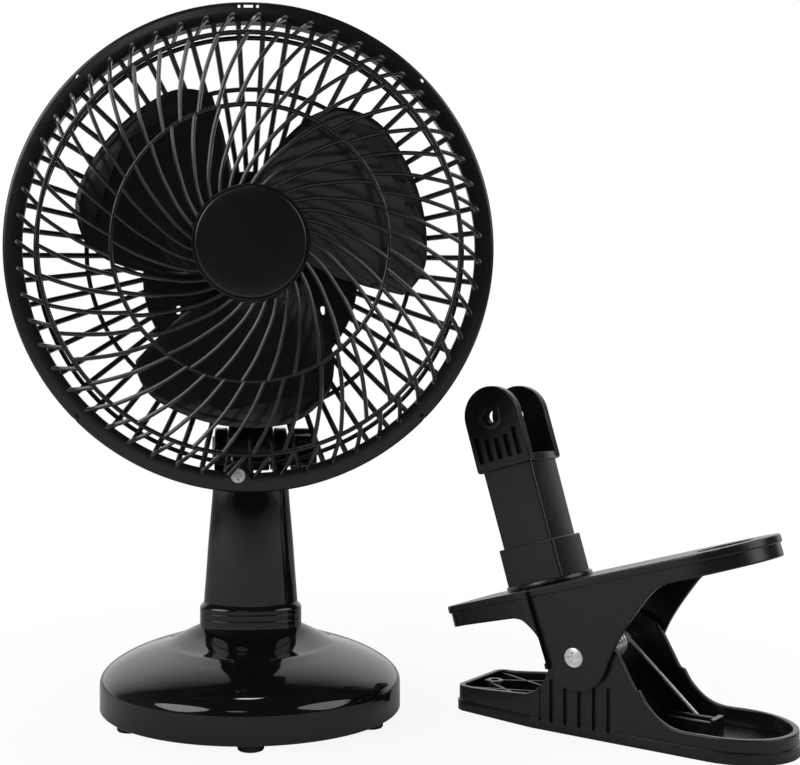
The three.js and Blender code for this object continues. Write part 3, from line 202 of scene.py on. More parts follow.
# floor, backdrop and light
studio = {
    "floorSize": 6.0, "floorGrey": 0.62, "whiteAtCentre": 0.90, "whitening": 0.4,
    "room": 0.03, "backdrop": 2.1, "leftWall": 0.12}
lamps = {  # place, aim, size and power
    "leftBox": ((-1.25, -0.75, 0.95), (-0.03, 0, 0.12), (1.2, 1.2), 15.0),
    "rightBox": ((1.3, -0.7, 0.95), (0.05, 0, 0.10), (1.3, 1.3), 11.0),
    "overhead": ((-0.05, 0.1, 1.5), (0, 0, 0), (0.35, 0.25), 3.0),
    "frontBox": ((-0.35, -1.5, 1.05), (0, 0, 0.15), (0.45, 0.3), 0.7)}


def makeFloor():
    # pale and matt; the camera sees it nearly white, more so further out, with the object's shadow left in
    material, finish = newMaterial("paleFloor")
    spot = finish.place((1, 0.8, 0))
    distance = finish.add("ShaderNodeVectorMath", {"operation": "LENGTH"}, {0: spot}, "Value")
    share = finish.ray("Camera") * (studio["whiteAtCentre"] + distance * studio["whitening"]).clamped()
    matt = finish.add("ShaderNodeBsdfDiffuse", {}, {"Color": (*[studio["floorGrey"]] * 3, 1)})
    white = finish.add("ShaderNodeEmission", {}, {"Color": (1, 1, 1, 1), "Strength": 1.0})
    finish.add("ShaderNodeOutputMaterial", {}, {"Surface": finish.add(
        "ShaderNodeMixShader", {}, {0: share, 1: matt, 2: white})})
    half = studio["floorSize"] / 2
    mesh = bpy.data.meshes.new("floor")
    corners = [(-half, -half, 0), (half, -half, 0), (half, half, 0), (-half, half, 0)]
    mesh.from_pydata(corners, [], [(0, 1, 2, 3)])
    mesh.materials.append(material)
    floor = bpy.data.objects.new("floor", mesh)
    bpy.context.scene.collection.objects.link(floor)
    floor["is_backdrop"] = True


def makeSky():
    # white for the camera, and for mirrored rays where the backdrop stands behind the object; to all else a
    # dim room with a bright backdrop behind and a faint wall on the left, both fading out above
    world = bpy.data.worlds.new("studio")
    world.use_nodes = True
    bpy.context.scene.world = world
    finish = Finish(world)
    direction = finish.add("ShaderNodeTexCoord", output="Generated")
    across, depth, rise = [finish.along(direction, axis) for axis in range(3)]
    behind = (depth * 1.9 - 0.75).clamped()
    left = ((0 - across) * 1.6 - 0.7).clamped() * studio["leftWall"]
    low = 1 - ((rise - 0.58) * 2.0).clamped()
    level = studio["room"] + (behind * studio["backdrop"] + left) * low
    shown = (finish.ray("Camera") + (finish.ray("Glossy") + finish.ray("Transmission")) * behind).clamped()
    strength = shown + (1 - shown) * level
    back = finish.add("ShaderNodeBackground", {}, {"Color": (1, 1, 1, 1), "Strength": strength})
    finish.add("ShaderNodeOutputWorld", {}, {"Surface": back})


def addLamp(name, place, aim, size, power):
    lamp = bpy.data.lights.new(name, "AREA")
    lamp.shape = "ELLIPSE"
    lamp.size, lamp.size_y = size
    lamp.energy = power
    thing = bpy.data.objects.new(name, lamp)
    thing.location = place
    thing.rotation_euler = (Vector(aim) - Vector(place)).to_track_quat("-Z", "Y").to_euler()
    bpy.context.scene.collection.objects.link(thing)


makeFloor()
makeSky()
for name, lamp in lamps.items():
    addLamp(name, *lamp)
print("studio made")

# places: every piece is worked out in millimetres about its own axis
fanAxis = np.array([-50.980, 10.7315, 0.0])
headSpot = np.array([0.0, -1.0, 180.6])
clipSpot = {"at": np.array([134.3, -25.7, 0.0]), "turn": np.radians(-41), "pivot": 29.5,
            "recline": np.radians(16.5), "postAt": -15.3}


def onStand(points):
    return (np.asarray(points, float) + fanAxis) * 0.001


def onHead(points):
    return onStand(np.asarray(points, float) + headSpot)


def onClip(points):
    c, s = np.cos(clipSpot["turn"]), np.sin(clipSpot["turn"])
    x, y, z = np.moveaxis(np.asarray(points, float), -1, 0)
    return onStand(np.stack([c * x - s * y, s * x + c * y, z], -1) + clipSpot["at"])


def onPivot(points):
    return onClip(np.asarray(points, float) + [0, 0, clipSpot["pivot"]])


def onJaw(points):
    # the upper jaw lies back about the pivot
    c, s = np.cos(clipSpot["recline"]), np.sin(clipSpot["recline"])
    u, w, v = np.moveaxis(np.asarray(points, float), -1, 0)
    return onPivot(np.stack([c * u - s * v, w, s * u + c * v], -1))


def onPost(points):
    return onJaw(np.asarray(points, float) + [clipSpot["postAt"], 0, 0])


# surfaces
def curveThrough(points, count):
    # a smooth curve through points: each span is a cubic with its ends' slopes from their neighbours
    p = np.asarray(points, float)
    p = np.concatenate([2 * p[:1] - p[1:2], p, 2 * p[-1:] - p[-2:-1]])
    t = np.linspace(0, len(p) - 3 - 1e-9, count)
    i = t.astype(int)
    f = (t - i)[:, None]
    a, b, c, d = p[i], p[i + 1], p[i + 2], p[i + 3]
    slope, bend, twist = c - a, 2 * a - 5 * b + 4 * c - d, 3 * b - a - 3 * c + d
    return b + 0.5 * (slope * f + bend * f ** 2 + twist * f ** 3)


def smoothstep(value, low, high):
    t = np.clip((value - low) / (high - low), 0, 1)
    return t * t * (3 - 2 * t)


def lathe(profile, axis, sides=96, closed=False):
    # a profile of (radius, height) turned about an axis: x = r cos a, y = r sin a
    profile = np.asarray(profile, float)
    a = np.linspace(0, 2 * np.pi, sides, endpoint=False)
    r, h = profile[:, :1], profile[:, 1:2] + 0 * a
    flat = [r * np.cos(a), r * np.sin(a)]
    order = {"x": [h, flat[0], flat[1]], "y": [flat[0], h, flat[1]], "z": [flat[0], flat[1], h]}[axis]
    return np.stack(order, -1), closed


def normals(plan):
    # the outward side of a closed outline that runs anticlockwise
    run = np.roll(plan, -1, 0) - np.roll(plan, 1, 0)
    run /= np.linalg.norm(run, axis=1, keepdims=True) + 1e-12
    return np.stack([run[:, 1], -run[:, 0]], -1)


def carry(plan, inset, height):
    # a section of (inset, height) carried round an outline
    inset, height, _ = np.broadcast_arrays(inset, height, np.zeros(len(plan)))
    flat = plan[None] - normals(plan)[None] * inset[..., None]
    return np.concatenate([flat, height[..., None]], -1)


def roundEdge(radius, steps=4, hold=0.12):
    # a quarter circle as (inset, drop), with a holding point on the side and on the top
    a = np.linspace(0, np.pi / 2, steps + 1)
    arc = np.stack([radius * (1 - np.cos(a)), radius * (1 - np.sin(a))], -1)
    return np.concatenate([[[0, radius + hold]], arc, [[radius + hold, 0]]])


def pile(plans, heights):
    # outlines one above another, each flat at its height
    return np.stack([np.column_stack([plan, np.full(len(plan), height)])
                     for plan, height in zip(plans, heights)])


def slab(plan, low, high, radius=0.4, axis="z"):
    # an outline raised from one level to another, with rounded edges
    edge = roundEdge(min(radius, (high - low) * 0.45))
    inset = np.concatenate([edge[::-1, 0], edge[:, 0]])
    height = np.concatenate([low + edge[::-1, 1], high - edge[:, 1]])
    points = carry(plan, inset[:, None], height[:, None])
    order = {"z": [0, 1, 2], "x": [2, 0, 1], "y": [0, 2, 1]}[axis]
    return points[..., order], False


def roundedBox(halfA, halfB, radius, each=6):
    # an outline with four round corners
    a = np.concatenate([np.linspace(q, q + 90, each) for q in (0, 90, 180, 270)])
    c, s = np.cos(np.radians(a)), np.sin(np.radians(a))
    sx = np.repeat([1, -1, -1, 1], each) * (halfA - radius)
    sy = np.repeat([1, 1, -1, -1], each) * (halfB - radius)
    return np.stack([sx + radius * c, sy + radius * s], -1)


def oval(halfA, halfB, squareness=2.0, count=96):
    # |x/a|^n + |y/b|^n = 1
    a = np.linspace(0, 2 * np.pi, count, endpoint=False)
    c, s = np.cos(a), np.sin(a)
    p = 2 / squareness
    return np.stack([halfA * np.sign(c) * np.abs(c) ** p, halfB * np.sign(s) * np.abs(s) ** p], -1)


def block(x0, x1, y0, y1, z0, z1, radius=0.3):
    # a box with all its edges a little rounded
    plan = roundedBox((x1 - x0) / 2, (y1 - y0) / 2, min(radius, (x1 - x0) / 2.2, (y1 - y0) / 2.2), 3)
    points, closed = slab(plan, z0, z1, radius)
    return points + [(x0 + x1) / 2, (y0 + y1) / 2, 0], closed


def beam(start, end, width, low, high, radius=0.3):
    # a straight wall on the floor of a tray
    start, end = np.asarray(start, float), np.asarray(end, float)
    run = end - start
    length = np.linalg.norm(run)
    points, closed = block(0, length, -width / 2, width / 2, low, high, radius)
    c, s = run / length
    turned = np.stack([c * points[..., 0] - s * points[..., 1], s * points[..., 0] + c * points[..., 1],
                       points[..., 2]], -1)
    return turned + [*start, 0], closed


def tube(path, radius, sides=10):
    # a round wire along a path: its section turns with the path and stays square to it
    path = np.asarray(path, float)
    run = np.gradient(path, axis=0)
    run /= np.linalg.norm(run, axis=1, keepdims=True)
    side = np.cross(run, [0, 1, 0])
    side /= np.linalg.norm(side, axis=1, keepdims=True)
    other = np.cross(run, side)
    a = np.linspace(0, 2 * np.pi, sides, endpoint=False)[:, None]
    ring = side[:, None] * np.cos(a) + other[:, None] * np.sin(a)
    return path[:, None] + radius * ring, False


def crossHead(radius, thick, crown, count=96):
    # a domed screw head about +Z: the crown less a cross-shaped recess, then the side down to the seat
    a = np.linspace(0, 2 * np.pi, count, endpoint=False)
    r = np.concatenate([np.linspace(0, 0.93, 34), [0.965, 0.99, 1, 1]])[:, None] * radius
    long, short, ring = 0.62 * radius, 0.11 * radius, 0.74 * radius
    x, y = r * np.cos(a), r * np.sin(a)
    dome = crown * (1 - (r / radius) ** 2.4)

    def arm(p, q):
        return (1 - smoothstep(np.abs(p), long * 0.86, long)) * (1 - smoothstep(np.abs(q), short, short * 1.6))

    recess = np.maximum(arm(x, y), arm(y, x)) * min(1.3, thick * 0.85)
    groove = 0.12 * (1 - smoothstep(np.abs(r - ring) / radius, 0.03, 0.07))
    z = thick + dome - recess - groove
    z[-3:] = thick - np.array([[0.08], [0.22], [thick]])
    return np.stack([x, y, z], -1), False


def faceFront(shell):
    # turns a shell made about +Z to face along -Y
    points, closed = shell
    return np.stack([points[..., 0], -points[..., 2], points[..., 1]], -1), closed


def shellArrays(shell):
    # one grid: its columns always close on themselves, and its rows close too or end in poles
    points, closed = shell
    if not closed:
        ends = [np.repeat(row.mean(0)[None, None], points.shape[1], 1) for row in (points[0], points[-1])]
        points = np.concatenate([ends[0], points, ends[1]])
    rows, cols = points.shape[:2]
    r = np.arange(rows if closed else rows - 1)[:, None]
    c = np.arange(cols)[None]
    n, e = (r + 1) % rows, (c + 1) % cols
    faces = np.stack([r * cols + c, r * cols + e, n * cols + e, n * cols + c], -1).reshape(-1, 4)
    return points.reshape(-1, 3), faces


def newMesh(name, shells, place):
    spots, faces, start = [], [], 0
    for shell in shells:
        p, f = shellArrays(shell)
        spots.append(place(p))
        faces.append(f + start)
        start += len(p)
    spots, faces = np.concatenate(spots), np.concatenate(faces)
    mesh = bpy.data.meshes.new(name)
    mesh.vertices.add(len(spots))
    mesh.vertices.foreach_set("co", spots.ravel())
    mesh.loops.add(faces.size)
    mesh.loops.foreach_set("vertex_index", faces.ravel())
    mesh.polygons.add(len(faces))
    mesh.polygons.foreach_set("loop_start", np.arange(0, faces.size, 4))
    mesh.update(calc_edges=True)
    mesh.validate()
    work = bmesh.new()
    work.from_mesh(mesh)
    bmesh.ops.remove_doubles(work, verts=work.verts, dist=2e-6)
    bmesh.ops.dissolve_degenerate(work, edges=work.edges, dist=1e-7)
    bmesh.ops.recalc_face_normals(work, faces=work.faces)
    work.to_mesh(mesh)
    work.free()
    return mesh


def cutAway(mesh, cutter, tangled=False):
    # the first mesh less the second, whose shells may overlap one another if tangled
    scene = bpy.context.scene.collection
    body, tool = bpy.data.objects.new("cutBody", mesh), bpy.data.objects.new("cutTool", cutter)
    scene.objects.link(body)
    scene.objects.link(tool)
    step = body.modifiers.new("cut", "BOOLEAN")
    step.object = tool
    step.operation = "DIFFERENCE"
    step.solver = "EXACT"
    step.use_self = tangled
    bpy.context.view_layer.update()
    result = bpy.data.meshes.new_from_object(body.evaluated_get(bpy.context.evaluated_depsgraph_get()))
    bpy.data.objects.remove(body)
    bpy.data.objects.remove(tool)
    return result


def joined(name, meshes):
    work = bmesh.new()
    for mesh in meshes:
        work.from_mesh(mesh)
    whole = bpy.data.meshes.new(name)
    work.to_mesh(whole)
    work.free()
    return whole


def finishPiece(name, mesh, body, slotName, nodes, sharp=34):
    mesh.materials.clear()
    mesh.materials.append(slotFinish[slotName])
    mesh.polygons.foreach_set("material_index", np.zeros(len(mesh.polygons), int))
    mesh.polygons.foreach_set("use_smooth", np.ones(len(mesh.polygons), bool))
    mesh.set_sharp_from_angle(angle=np.radians(sharp))
    thing = bpy.data.objects.new(name, mesh)
    bpy.context.scene.collection.objects.link(thing)
    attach(thing, body)
    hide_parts(*nodes)
    print(name, len(mesh.polygons), "faces")
    return thing


def makePiece(name, shells, place, body, slotName, nodes, sharp=34):
    return finishPiece(name, newMesh(name, shells, place), body, slotName, nodes, sharp)


# base
base = {
    "dome": [(59.0, 12.4), (58.85, 14.0), (57.8, 16.2), (54.8, 19.0), (49.7, 22.0), (43.6, 24.6), (37.6, 26.6),
             (34.0, 27.75), (32.0, 28.5), (28.6, 30.3), (25.0, 32.15), (22.6, 33.4), (20.6, 34.35)],
    "side": [(58.0, 3.0), (58.7, 3.05), (59.0, 3.4), (59.0, 3.6), (59.0, 8.0), (59.0, 12.0)],
    "top": [(20.2, 34.48), (19.8, 34.5), (10, 34.5), (0.05, 34.5)], "under": [(0.05, 32.3), (18, 32.3)],
    "lip": [(56.8, 10.0), (56.8, 3.4), (57.0, 3.0)], "wall": 2.2,
    # from the shoulder's radius to the collar's, the circle narrows by these shares and dips by this much
    "shoulder": 34.0, "collar": 20.6, "narrowX": 0.015, "narrowY": 0.37, "dip": 3.2,
    "feet": 6, "footCircle": 52, "footRadius": 4.8, "footHeight": 2.9}
sleeve = {  # half width, half depth and squareness, and its beads as (height, stand-out)
    "oval": (20.05, 12.7, 2.15), "wall": 1.75, "top": 43.2,
    "beads": [(30.4, 0.6), (32.6, 0.35), (34.0, 0.1), (35.4, 0.0), (36.9, 0.0), (37.2, -0.08), (37.5, 0.0),
              (39.4, 0.0), (39.7, -0.08), (40.0, 0.0), (41.0, 0.02), (41.5, -0.05), (42.0, -0.35),
              (42.7, -0.95), (43.3, -1.6)]}


def makeBase():
    # the dome's profile, outside and then back inside, turned about the upright axis
    dome = curveThrough(base["dome"], 72)
    run = np.gradient(dome, axis=0)
    run /= np.linalg.norm(run, axis=1, keepdims=True)
    inside = dome - np.stack([run[:, 1], -run[:, 0]], -1) * base["wall"]
    back = inside[inside[:, 0] > 19][::-1]
    profile = np.concatenate([base["side"], dome, base["top"], base["under"], back, base["lip"]])
    points, closed = lathe(profile, "z", 192, True)
    # the shoulder runs from a circle into the collar's oval, and dips at the front and back
    outer = slice(len(base["side"]), -len(base["lip"]))
    share = np.clip((base["shoulder"] - profile[outer, :1]) / (base["shoulder"] - base["collar"]), 0, 1)
    a = np.linspace(0, 2 * np.pi, 192, endpoint=False)
    points[outer, :, 0] *= 1 - share * base["narrowX"]
    points[outer, :, 1] *= 1 - share * base["narrowY"]
    points[outer, :, 2] -= share * base["dip"] * np.sin(a) ** 2
    shell = points, closed
    height, out = curveThrough(sleeve["beads"], 60).T
    inset = np.concatenate([-out, np.full(6, sleeve["wall"])])
    height = np.concatenate([height, np.linspace(sleeve["top"], sleeve["beads"][0][0], 6)])
    collar = carry(oval(*sleeve["oval"], 128), inset[:, None], height[:, None]), True
    makePiece("baseDome", [shell, collar], onStand, "stand", "gloss_black", ["base_dome"])
    angles = np.radians(np.arange(base["feet"]) * 360 / base["feet"] - 90)
    r, h = base["footRadius"], base["footHeight"]
    profile = [(0.05, 0), (r - 1.0, 0), (r - 0.75, 0.03), (r - 0.3, 0.2), (r - 0.05, 0.6), (r, 0.9), (r, h),
               (0.05, h)]
    for number, angle in enumerate(angles):
        points, closed = lathe(profile, "z", 40)
        spot = [base["footCircle"] * np.cos(angle), base["footCircle"] * np.sin(angle), 0]
        makePiece(f"foot{number + 1}", [(points + spot, closed)], onStand, "stand", "rubber_black",
                  [f"base_foot_{number + 1}"])


makeBase()

# neck and tilt joint
neck = {  # half width, half depth and squareness by height
    "rings": [(34.9, 18.9, 11.7, 2.0), (43.5, 18.5, 11.5, 2.0), (55.4, 17.6, 11.1, 2.0),
              (67.4, 16.75, 10.6, 2.05), (79.3, 15.7, 10.1, 2.15), (86.4, 15.15, 9.7, 2.3),
              (92.2, 14.95, 9.4, 2.5)],
    "tilt": 103.2, "ear": 8.9, "earFoot": 91.2, "slot": 9.0, "out": 14.2, "bolt": 3.2,
    "seat": {"radius": 5.7, "depth": 11.4}}
knob = {  # its profile as (radius, distance along the bolt); it is made at full size and scaled to its node
    "profile": [(0.05, 14.5), (7.4, 14.5), (7.6, 14.7), (7.6, 15.6), (8.6, 15.75), (9.5, 15.9), (9.9, 16.3),
                (10.0, 16.9), (10.0, 24.6), (9.8, 25.3), (9.2, 25.75), (8.4, 25.9), (6.6, 25.9), (6.2, 25.6),
                (5.8, 25.35), (0.05, 25.3)],
    "scale": 0.89, "lobes": 10, "depth": 0.9}


def boltHole(radius, along="x"):
    # a round cutter through both ears of a clevis
    return lathe([(0.05, -30), (radius, -30), (radius, 30), (0.05, 30)], along, 40)


def makeNeck():
    rings = curveThrough(neck["rings"], 60)
    shell = pile([oval(*ring, 120) for ring in rings[:, 1:]], rings[:, 0])
    top = shell[-1].copy()
    lid = np.stack([top * [k, k, 1] + [0, 0, 0.01] for k in (0.985, 0.9)])
    column = np.concatenate([shell, lid]), False
    a = np.radians(np.linspace(0, 180, 40))
    r, middle, foot = neck["ear"], neck["tilt"], neck["earFoot"]
    ear = np.concatenate([np.stack([r * np.cos(a), middle + r * np.sin(a)], -1),
                          [[-r, 96], [-r, foot], [r, foot], [r, 96]]])
    deep, wide = -neck["seat"]["depth"], neck["seat"]["radius"]
    seat = lathe([(0.05, -16), (wide, -16), (wide, deep), (0.05, deep)], "x", 6)
    holes = [(points + [0, 0, middle], closed) for points, closed in (seat, boltHole(neck["bolt"]))]
    meshes = [newMesh("column", [column], onStand)]
    for low, high in ((-neck["out"], -neck["slot"]), (neck["slot"], neck["out"])):
        part = newMesh("ear", [slab(ear, low, high, 0.8, "x")], onStand)
        meshes.append(cutAway(part, newMesh("hole", holes, onStand)))
    finishPiece("neckColumn", joined("neckColumn", meshes), "stand", "gloss_black", ["neck"])
    # the knob: its radius swells and falls round it, and its edges are round
    a = np.linspace(0, 2 * np.pi, 160, endpoint=False)
    radius, along = np.hsplit(np.array(knob["profile"]), 2)
    lobes = 0.5 - 0.5 * np.cos(knob["lobes"] * a)
    r = (radius - knob["depth"] * lobes * smoothstep(radius, 7.6, 9.4)) * knob["scale"]
    grip = np.stack([along + 0 * a, r * np.cos(a), r * np.sin(a) + neck["tilt"]], -1), False
    makePiece("tiltKnob", [grip], onStand, "knob", "guard_black", ["tilt_knob"])


makeNeck()

# guard
guard = {
    "rim": [(84.6, -25.9), (84.9, -26.4), (85.4, -26.5), (88.6, -26.5), (89.2, -26.4), (90.0, -26.3),
            (91.0, -26.2), (91.5, -26.0), (91.85, -25.6), (92.0, -25.0), (92.0, -14.2), (91.8, -13.6),
            (91.4, -13.5), (90.6, -13.5), (90.2, -13.8), (90.2, -24.5), (85.0, -24.5), (84.6, -24.9)],
    "hoops": [(50.4, -39.9), (77.2, -37.5)], "hoopWidth": 1.7, "hoopDepth": 2.4,
    "ribWidth": 1.6, "ribDepth": 2.3,
    "hub": [(3.3, -41.2), (20.6, -41.2), (20.9, -41.1), (21.0, -40.8), (21.0, -37.3), (20.8, -37.0),
            (18.8, -37.0), (18.8, -39.3), (3.3, -39.3)],
    "cap": [(0.05, -43.5), (8, -43.48), (15, -43.4), (19.3, -43.28), (19.8, -43.2), (20.1, -43.0), (20.3, -42.6),
            (20.4, -42.25), (20.55, -42.25), (20.8, -42.45), (21.1, -42.4), (21.35, -42.1), (21.4, -41.8),
            (21.4, -41.5), (3, -41.5), (3, -37.6), (0.05, -37.6)],
    "lug": [(2.2, -26.9), (4.6, -26.9), (5.0, -26.7), (5.1, -26.3), (5.1, -24.3), (2.2, -24.3)],
    "lugAt": 85.6, "screwTurn": 183.2, "screwSeat": -26.8, "screwEnd": -11.6,
    "clasps": [(-3.1, -2.5), (-1.7, 0.5), (1.3, 1.9), (-46.2, -45.2), (45.1, 46.1), (134, 135), (-135, -134)]}
# rib sets: count, and (radius, y, degrees clockwise from the top) along one rib
ribSets = {
    "inner": (33, [(20.6, -40.3), (30, -40.5), (40, -40.4), (50.6, -40.0)],
              [(20, -12.0), (24.0, -5.5), (29.2, 0.9), (32.8, 6.0), (36.5, 9.4), (40.1, 12.2), (43.7, 15.2),
               (47.4, 17.9), (50.7, 20.2)], 31),
    "middle": (44, [(50.2, -40.0), (60, -39.6), (70, -38.6), (77.4, -37.5)],
               [(50.0, 2.2), (52.9, 3.9), (56.5, 5.8), (60.1, 7.5), (63.8, 9.4), (67.4, 11.3), (71.1, 13.0),
                (74.7, 14.7), (77.6, 15.9)], 28)}
hook = {"count": 55, "start": 4.6, "turn": 5.0,
        "path": [(76.8, -37.6), (80.1, -36.5), (83.0, -34.7), (85.0, -31.9), (85.8, -28.9), (85.9, -26.0)]}


def ribs(count, radius, y, turn, spiral, width, depth, square=2.5):
    # bars at even steps round the head: an eight-sided section carried along a path of radius, y and turn
    start = np.arange(count)[:, None] * 360 / count
    a = np.radians(start + turn)
    outward = np.stack([np.sin(a), 0 * a, np.cos(a)], -1)
    around = np.stack([np.cos(a), 0 * a, -np.sin(a)], -1)
    lean = np.radians(spiral)
    side = around * np.cos(lean) - outward * np.sin(lean)
    path = outward * radius[..., None]
    path[..., 1] = y
    face = np.cross(side, np.gradient(path, axis=1))
    face /= np.linalg.norm(face, axis=-1, keepdims=True)
    ring = oval(width / 2, depth / 2, square, 8)
    points = path[:, :, None] + side[:, :, None] * ring[:, :1] + face[:, :, None] * ring[:, 1:]
    return [(bar, False) for bar in points]


def aboutFan(radius, turn):
    # a place at some degrees clockwise from the top
    return np.array([radius * np.sin(np.radians(turn)), 0, radius * np.cos(np.radians(turn))])


def hoopShell(radius, y, width, depth, sides=220):
    ring = oval(width / 2, depth / 2, 2.5, 12)
    return lathe(ring + [radius, y], "y", sides, True)


def snapCutters():
    # openings of the clasps: small slots in the face that run out through the wall
    cutters = []
    for low, high in guard["clasps"]:
        a = np.radians(np.array([low, low, high, high]))
        for r0, r1, y0, y1 in ((89.5, 90.7, -28, -23), (89.9, 93, -25.7, -18)):
            radius = np.array([r0, r1, r1, r0])
            plan = np.stack([radius * np.sin(a), radius * np.cos(a)], -1)
            cutters.append((pile([plan, plan], (y0, y1))[..., [0, 2, 1]], False))
    return cutters


def makeGuard():
    rim = newMesh("rim", [lathe(guard["rim"], "y", 220, True)], onHead)
    rim = cutAway(rim, newMesh("slots", snapCutters(), onHead), True)
    shells = []
    for count, depths, turns, spiral in ribSets.values():
        radius = np.linspace(depths[0][0], depths[-1][0], 10)
        y = np.interp(radius, *np.array(depths).T)
        turn = np.interp(radius, *np.array(turns).T)
        turn = np.convolve(np.pad(turn, 1, "reflect", reflect_type="odd"), [0.25, 0.5, 0.25], "valid")
        shells += ribs(count, radius, y, turn, spiral, guard["ribWidth"], guard["ribDepth"])
    radius, y = curveThrough(hook["path"], 13).T
    turn = hook["start"] + hook["turn"] * np.clip((radius - 77.2) / 9.8, -0.1, 1)
    shells += ribs(hook["count"], radius, y, turn, 35, guard["ribWidth"], guard["ribDepth"])
    shells += [hoopShell(r, y, guard["hoopWidth"], guard["hoopDepth"]) for r, y in guard["hoops"]]
    shells.append(lathe(guard["hub"], "y", 120, True))
    screwAt = aboutFan(guard["lugAt"], guard["screwTurn"])
    shells.append((lathe(guard["lug"], "y", 40, True)[0] + screwAt, True))
    mesh = joined("frontGuard", [rim, newMesh("ribs", shells, onHead)])
    finishPiece("frontGuard", mesh, "head", "guard_black", ["front_grille"], 40)
    makePiece("centreCap", [lathe(guard["cap"], "y", 144)], onHead, "head", "guard_black", ["centre_cap"])
    head, closed = faceFront(crossHead(2.7, 1.1, 0.6))
    seat, end = guard["screwSeat"], guard["screwEnd"]
    shank = lathe([(0.05, seat - 0.1), (1.4, seat - 0.1), (1.4, end), (0.05, end)], "y", 16)
    shells = [(head + screwAt + [0, seat, 0], closed), (shank[0] + screwAt, False)]
    makePiece("guardScrew", shells, onHead, "head", "zinc", ["grille_screw"])


makeGuard()

# rear guard
rear = {
    "rim": [(87.1, -24.0), (87.4, -24.1), (89.6, -24.1), (89.9, -23.8), (89.9, -13.4), (90.1, -13.2),
            (91.6, -13.2), (91.8, -13.0), (91.8, -12.0), (91.3, -11.4), (90.6, -11.3), (87.6, -11.3),
            (87.1, -11.8)],
    "hoops": [(63.3, -7.9), (81.9, -13.0)], "hoopWidth": 1.8, "hoopDepth": 1.9,
    "count": 57, "turn": 3.18, "rib": (2.16, 2.1, 2.6), "overlap": 1.0, "reach": 88.0,
    "plate": 42.0, "drop": 10.0, "face": -5.4, "back": -2.6,
    "boss": [(1.7, -24.1), (4.2, -24.1), (4.4, -23.9), (4.4, -11.3), (1.7, -11.3)], "bossAt": 84.9,
    "ventColumns": (-35.8, -28.2, 28.2, 35.8), "ventStep": 6.2, "screws": (17.5, 21.0),
    "depths": [(30, -4.1), (42, -4.6), (52, -5.9), (63.3, -8.0), (73, -10.7), (81.9, -13.1), (88, -15.3)]}


def makeRearGuard():
    # each rib starts a little inside the plate's edge, whose distance from the fan's axis changes round it
    a = np.radians(rear["turn"] + np.arange(rear["count"]) * 360 / rear["count"])
    edge = np.sqrt(rear["plate"] ** 2 - (rear["drop"] * np.sin(a)) ** 2) - rear["drop"] * np.cos(a)
    start = edge[:, None] - rear["overlap"]
    radius = start + np.linspace(0, 1, 9) * (rear["reach"] - start)
    y = np.interp(radius, *np.array(rear["depths"]).T)
    shells = ribs(rear["count"], radius, y, np.full(9, rear["turn"]), 0, *rear["rib"])
    shells.append(lathe(rear["rim"], "y", 220, True))
    shells += [hoopShell(r, y, rear["hoopWidth"], rear["hoopDepth"], 180) for r, y in rear["hoops"]]
    shells.append((lathe(rear["boss"], "y", 32, True)[0] + aboutFan(rear["bossAt"], guard["screwTurn"]), True))
    plate = slab(oval(rear["plate"], rear["plate"], 2, 160), rear["face"], rear["back"], 0.5, "y")
    plateMesh = newMesh("plate", [(plate[0] + [0, 0, -rear["drop"]], False)], onHead)
    cutters = []
    for x in rear["ventColumns"]:
        inner = abs(x) < 30
        for row in range(-3, 4) if inner else range(-2, 3):  # blind pockets, but for one in each inner column
            back = 0 if inner and row == -2 else rear["face"] + 1.2
            slot, closed = slab(roundedBox(0.85, 1.7, 0.7, 5), -9, back, 0.01, "y")
            cutters.append((slot + [x, 0, row * rear["ventStep"] - rear["drop"]], closed))
    cutters.append(lathe([(0.05, -9), (9, -9), (9, 0), (0.05, 0)], "y", 60))
    hole = lathe([(0.05, -9), (1.7, -9), (1.7, 0), (0.05, 0)], "y", 20)[0]
    across, up = rear["screws"]
    cutters += [(hole + [x, 0, z - rear["drop"]], False) for x in (-across, across) for z in (-up, up)]
    plateMesh = cutAway(plateMesh, newMesh("openings", cutters, onHead))
    mesh = joined("rearGuard", [plateMesh, newMesh("spokes", shells, onHead)])
    finishPiece("rearGuard", mesh, "head", "guard_black", ["rear_grille"], 40)


makeRearGuard()

# propeller
fan = {
    "trailing": [(14, 233), (24.1, 243.8), (40.6, 256.4), (54.0, 264.6), (64.0, 273.0), (68.5, 276.5)],
    "leading": [(14, 347.5), (28.3, 346.8), (46.7, 347.0), (62.8, 346.0), (68.5, 344.0)],
    "root": 13.8, "tip": 67.9, "corner": 6.8, "front": -26.7, "sweep": 15.0, "thick": 1.5, "blades": 3,
    "hub": [(0.05, -34.0), (7, -33.8), (10.5, -33.3), (13.0, -32.3), (14.6, -30.9), (15.4, -29.0), (15.5, -27.5),
            (15.5, -13.7), (15.3, -13.5), (13.8, -13.5), (13.7, -27.0), (12, -30), (4.6, -31.4), (4.6, -13.7),
            (4.4, -13.5), (2.3, -13.5), (2.3, -31.2), (0.05, -31.3)]}


